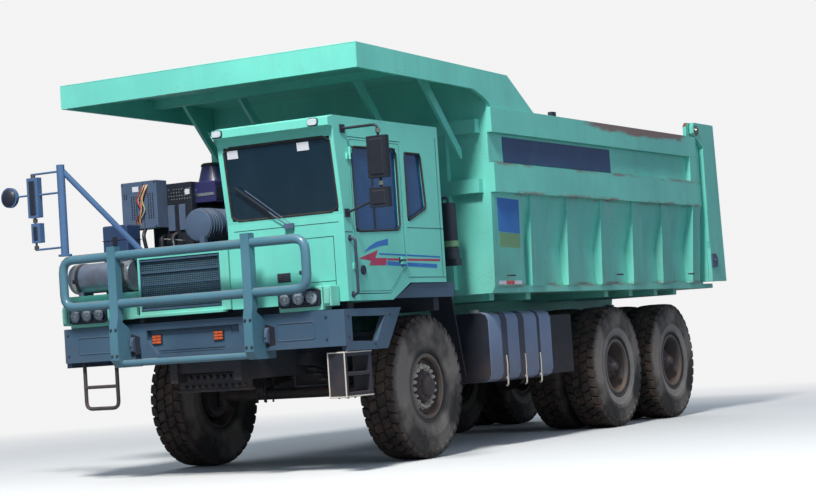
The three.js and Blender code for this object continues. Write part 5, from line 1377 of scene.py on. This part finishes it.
# ---------------------------------------------------------------- tanks and underside
def tank_bands():
    """Bands, latches and filler caps of the tanks on both sides."""
    low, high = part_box("fuel_tank_left")
    z0, z1, x0, x1 = low.z - 0.004, high.z + 0.004, low.x + 0.01, high.x + 0.004
    curve, sag, thick = 0.09, 0.027, 0.012
    path = [(x0, z0), (x1 - curve, z0), (x1 - sag, z0 + sag), (x1, z0 + curve), (x1, z1 - curve),
            (x1 - sag, z1 - sag), (x1 - curve, z1), (x0, z1)]
    bands, latches = shape(), shape()
    for s in (1, -1):
        outer = [(s * x, z) for x, z in path]
        inner = [(s * (x - thick), z + (thick if z < 1.1 else -thick)) for x, z in path[::-1]]
        for y0, y1 in ((1.545, 1.68), (1.965, 2.10), (2.43, 2.49)):
            prism(bands, outer + inner, "Y", AXLE_Y + y0, AXLE_Y + y1)
        for y in (1.62, 2.08, 2.46):
            pipe(latches, [(s * 1.585, y, 0.76), (s * 1.61, y, 0.74), (s * 1.605, y, 0.67),
                           (s * 1.57, y + 0.03, 0.66)], 0.009, 0.02, 8)
            pipe(latches, [(s * 1.607, y, 1.0), (s * 1.612, y, 0.9), (s * 1.607, y, 0.74)], 0.007, 0.0, 8)
        turned(latches, at(s * 1.3, 1.5, high.z), UP,
               [(0.055, 0), (0.055, 0.03), (0.045, 0.04), (0.001, 0.042)], 24)
    fix("tank_bands", bands, "strap", 30, 0.002)
    fix("tank_latches", latches, "nut", 40)


def underside():
    """Brake lines, air reservoirs, spring bolts and rivets along the frame."""
    lines, clips, rivets, flap_bolts = shape(), shape(), shape(), shape()
    for s in (1, -1):
        near, far = s * 0.437, s * 0.45
        for z, radius in ((1.30, 0.014), (1.25, 0.01), (1.19, 0.012)):
            pipe(lines, [(near, 0.3, z), (far, 1.2, z - 0.01), (near, 2.6, z), (far, 4.0, z - 0.015),
                         (near, 6.8, z)], radius, 0.1, 8)
        x0, x1 = pair(s, 0.44, 0.6)
        for y in (0.62, 3.1):
            turned(lines, at(s * 0.62, y, 1.05), REAR, [(0.02, 0), (0.1, 0.02), (0.125, 0.06), (0.125, 0.44),
                                                        (0.1, 0.48), (0.02, 0.5)], 28)
            for along in (0.1, 0.36):
                block(lines, (x0, y + along, 1.14), (x1, y + along + 0.04, 1.18))
    fix("lines_and_reservoirs", lines, "black", 45)
    for s in (1, -1):
        x0, x1 = pair(s, 0.45, 0.59)
        for y in (4.715, 6.485):
            for dy in (-0.1, 0.1):
                for x in (0.465, 0.575):
                    rod(clips, at(s * x, y + dy, 0.62), at(s * x, y + dy, 1.08), 0.013, 8)
            block(clips, (x0, y - 0.13, 0.62), (x1, y + 0.13, 0.645))
        for y in (-0.07, 0.07):
            for x in (0.465, 0.575):
                rod(clips, at(s * x, y, 0.66), at(s * x, y, 0.93), 0.011, 8)
    fix("spring_u_bolts", clips, "dark", 45)
    for s in (1, -1):
        for k in range(24):
            for z in (1.0, 1.30):
                turned(rivets, at(s * 0.43, -1.6 + k * 0.37, z), (s, 0, 0),
                       [(0.014, 0), (0.012, 0.006), (0.001, 0.009)], 8)
        for x in (1.15, 1.25, 1.35):
            hexagon(flap_bolts, at(s * x, 0.79, 1.73), FRONT, 0.01, 0.012)
    fix("frame_rivets", rivets, "dark", 40)
    fix("mudflap_bolts", flap_bolts, "steel", 30)


def canister_fittings():
    """Band, valves and pipes of the filter canister behind the cab."""
    ring, valves = shape(), shape()
    turned(ring, at(1.5, 0.7, 2.19), UP, [(0.084, 0), (0.0895, 0.004), (0.0895, 0.06), (0.084, 0.064)], 28)
    fix("canister_band", ring, "mark_olive", 40)
    block(valves, (1.28, 0.58, 2.02), (1.42, 0.66, 2.14))
    block(valves, (1.30, 0.55, 2.07), (1.38, 0.60, 2.12))
    pipe(valves, [(1.34, 0.6, 2.03), (1.30, 0.5, 1.95), (1.2, 0.52, 1.86), (1.18, 0.7, 1.82)], 0.014, 0.04, 8)
    pipe(valves, [(1.5, 0.7, 2.655), (1.5, 0.7, 2.72), (1.42, 0.7, 2.72), (1.40, 0.72, 2.2),
                  (1.38, 0.66, 2.08)], 0.016, 0.04, 8)
    fix("canister_valves", valves, "grey", 40, 0.003)


tank_bands()
underside()
canister_fittings()


# ---------------------------------------------------------------- studio
BACKDROP = (0.90, 0.90, 0.90)
FLOOR_HALF_SIZE = 400
FADE_START, FADE_END = 6.5, 15  # distance from the middle over which the floor turns into the backdrop
LIGHTS_AIM = Vector((0, 0, 1.8))
LIGHTS = (  # name, place, size, power, colour
    ("key", (5.0, -15.8, 17.4), 3.6, 5500, (1.0, 0.985, 0.95)),
    ("fill", (18, -6, 8), 13, 440, (0.64, 0.75, 1.0)),
    ("back", (-8, 17, 12), 12, 700, (0.96, 0.98, 1.0)),
)
CAMERA_PLACE = Vector((11.655, -20.887, 1.226))
CAMERA_AIM = Vector((0.515, -1.385, 2.243))
CAMERA_ROLL = math.radians(-3.718)
CAMERA_LENS = 88.2


def sky():
    """Soft blue light from all round; the camera sees a plain backdrop."""
    world = bpy.data.worlds.new("studio")
    bpy.context.scene.world = world
    world.use_nodes = True
    tree = world.node_tree
    light = tree.nodes["Background"]
    light.inputs["Color"].default_value = (0.68, 0.81, 1.0, 1)
    light.inputs["Strength"].default_value = 0.34
    plain = tree.nodes.new("ShaderNodeBackground")
    plain.inputs["Color"].default_value = (*BACKDROP, 1)
    path = tree.nodes.new("ShaderNodeLightPath")
    mix = tree.nodes.new("ShaderNodeMixShader")
    tree.links.new(path.outputs["Is Camera Ray"], mix.inputs["Fac"])
    tree.links.new(light.outputs[0], mix.inputs[1])
    tree.links.new(plain.outputs[0], mix.inputs[2])
    tree.links.new(mix.outputs[0], tree.nodes["World Output"].inputs["Surface"])


def floor_finish():
    """Pale floor that fades into the backdrop away from the truck."""
    g = Graph("studio_floor")
    distance = g.node("VectorMath", {0: g.place}, operation="LENGTH")["Value"]
    seen = g.node("LightPath", {})["Is Camera Ray"]
    pale = g.mix(g.noise(0.5, 3), (0.80, 0.80, 0.80), (0.83, 0.83, 0.83))
    g.finish(base_color=g.mix(seen, (0.30, 0.31, 0.32), pale), roughness=0.85)
    glow = g.node("Emission", {"Color": BACKDROP})[0]
    fade = g.math("MULTIPLY", g.ramp(distance, FADE_START, FADE_END), seen)
    joined = g.node("MixShader", {0: fade, 1: g.shader.outputs[0], 2: glow})[0]
    g.put(g.tree.nodes["Material Output"].inputs["Surface"], joined)
    return g.material


def turn_to(obj, aim, roll=0.0):
    """Points a light or the camera at a place."""
    look = (aim - obj.location).to_track_quat("-Z", "Y")
    obj.rotation_mode = "QUATERNION"
    obj.rotation_quaternion = look @ Matrix.Rotation(roll, 3, "Z").to_quaternion()


def studio():
    """World light, floor, three lamps and the camera."""
    scene = bpy.context.scene
    sky()
    bm = shape()
    bmesh.ops.create_grid(bm, x_segments=1, y_segments=1, size=FLOOR_HALF_SIZE)
    mesh = bpy.data.meshes.new("studio_floor")
    bm.to_mesh(mesh)
    bm.free()
    mesh.materials.append(floor_finish())
    floor = bpy.data.objects.new("studio_floor", mesh)
    scene.collection.objects.link(floor)

    for name, spot, size, power, colour in LIGHTS:
        data = bpy.data.lights.new(name, "AREA")
        data.shape = "DISK"
        data.size = size
        data.energy = power
        data.color = colour
        lamp = bpy.data.objects.new(name, data)
        lamp.location = spot
        turn_to(lamp, LIGHTS_AIM)
        scene.collection.objects.link(lamp)

    scene.view_settings.view_transform = "Standard"
    lens = bpy.data.cameras.new("view")
    lens.sensor_width = 36
    lens.lens = CAMERA_LENS
    lens.clip_end = 1000
    camera = bpy.data.objects.new("view", lens)
    camera.location = CAMERA_PLACE
    turn_to(camera, CAMERA_AIM, CAMERA_ROLL)
    scene.collection.objects.link(camera)
    scene.camera = camera


studio()
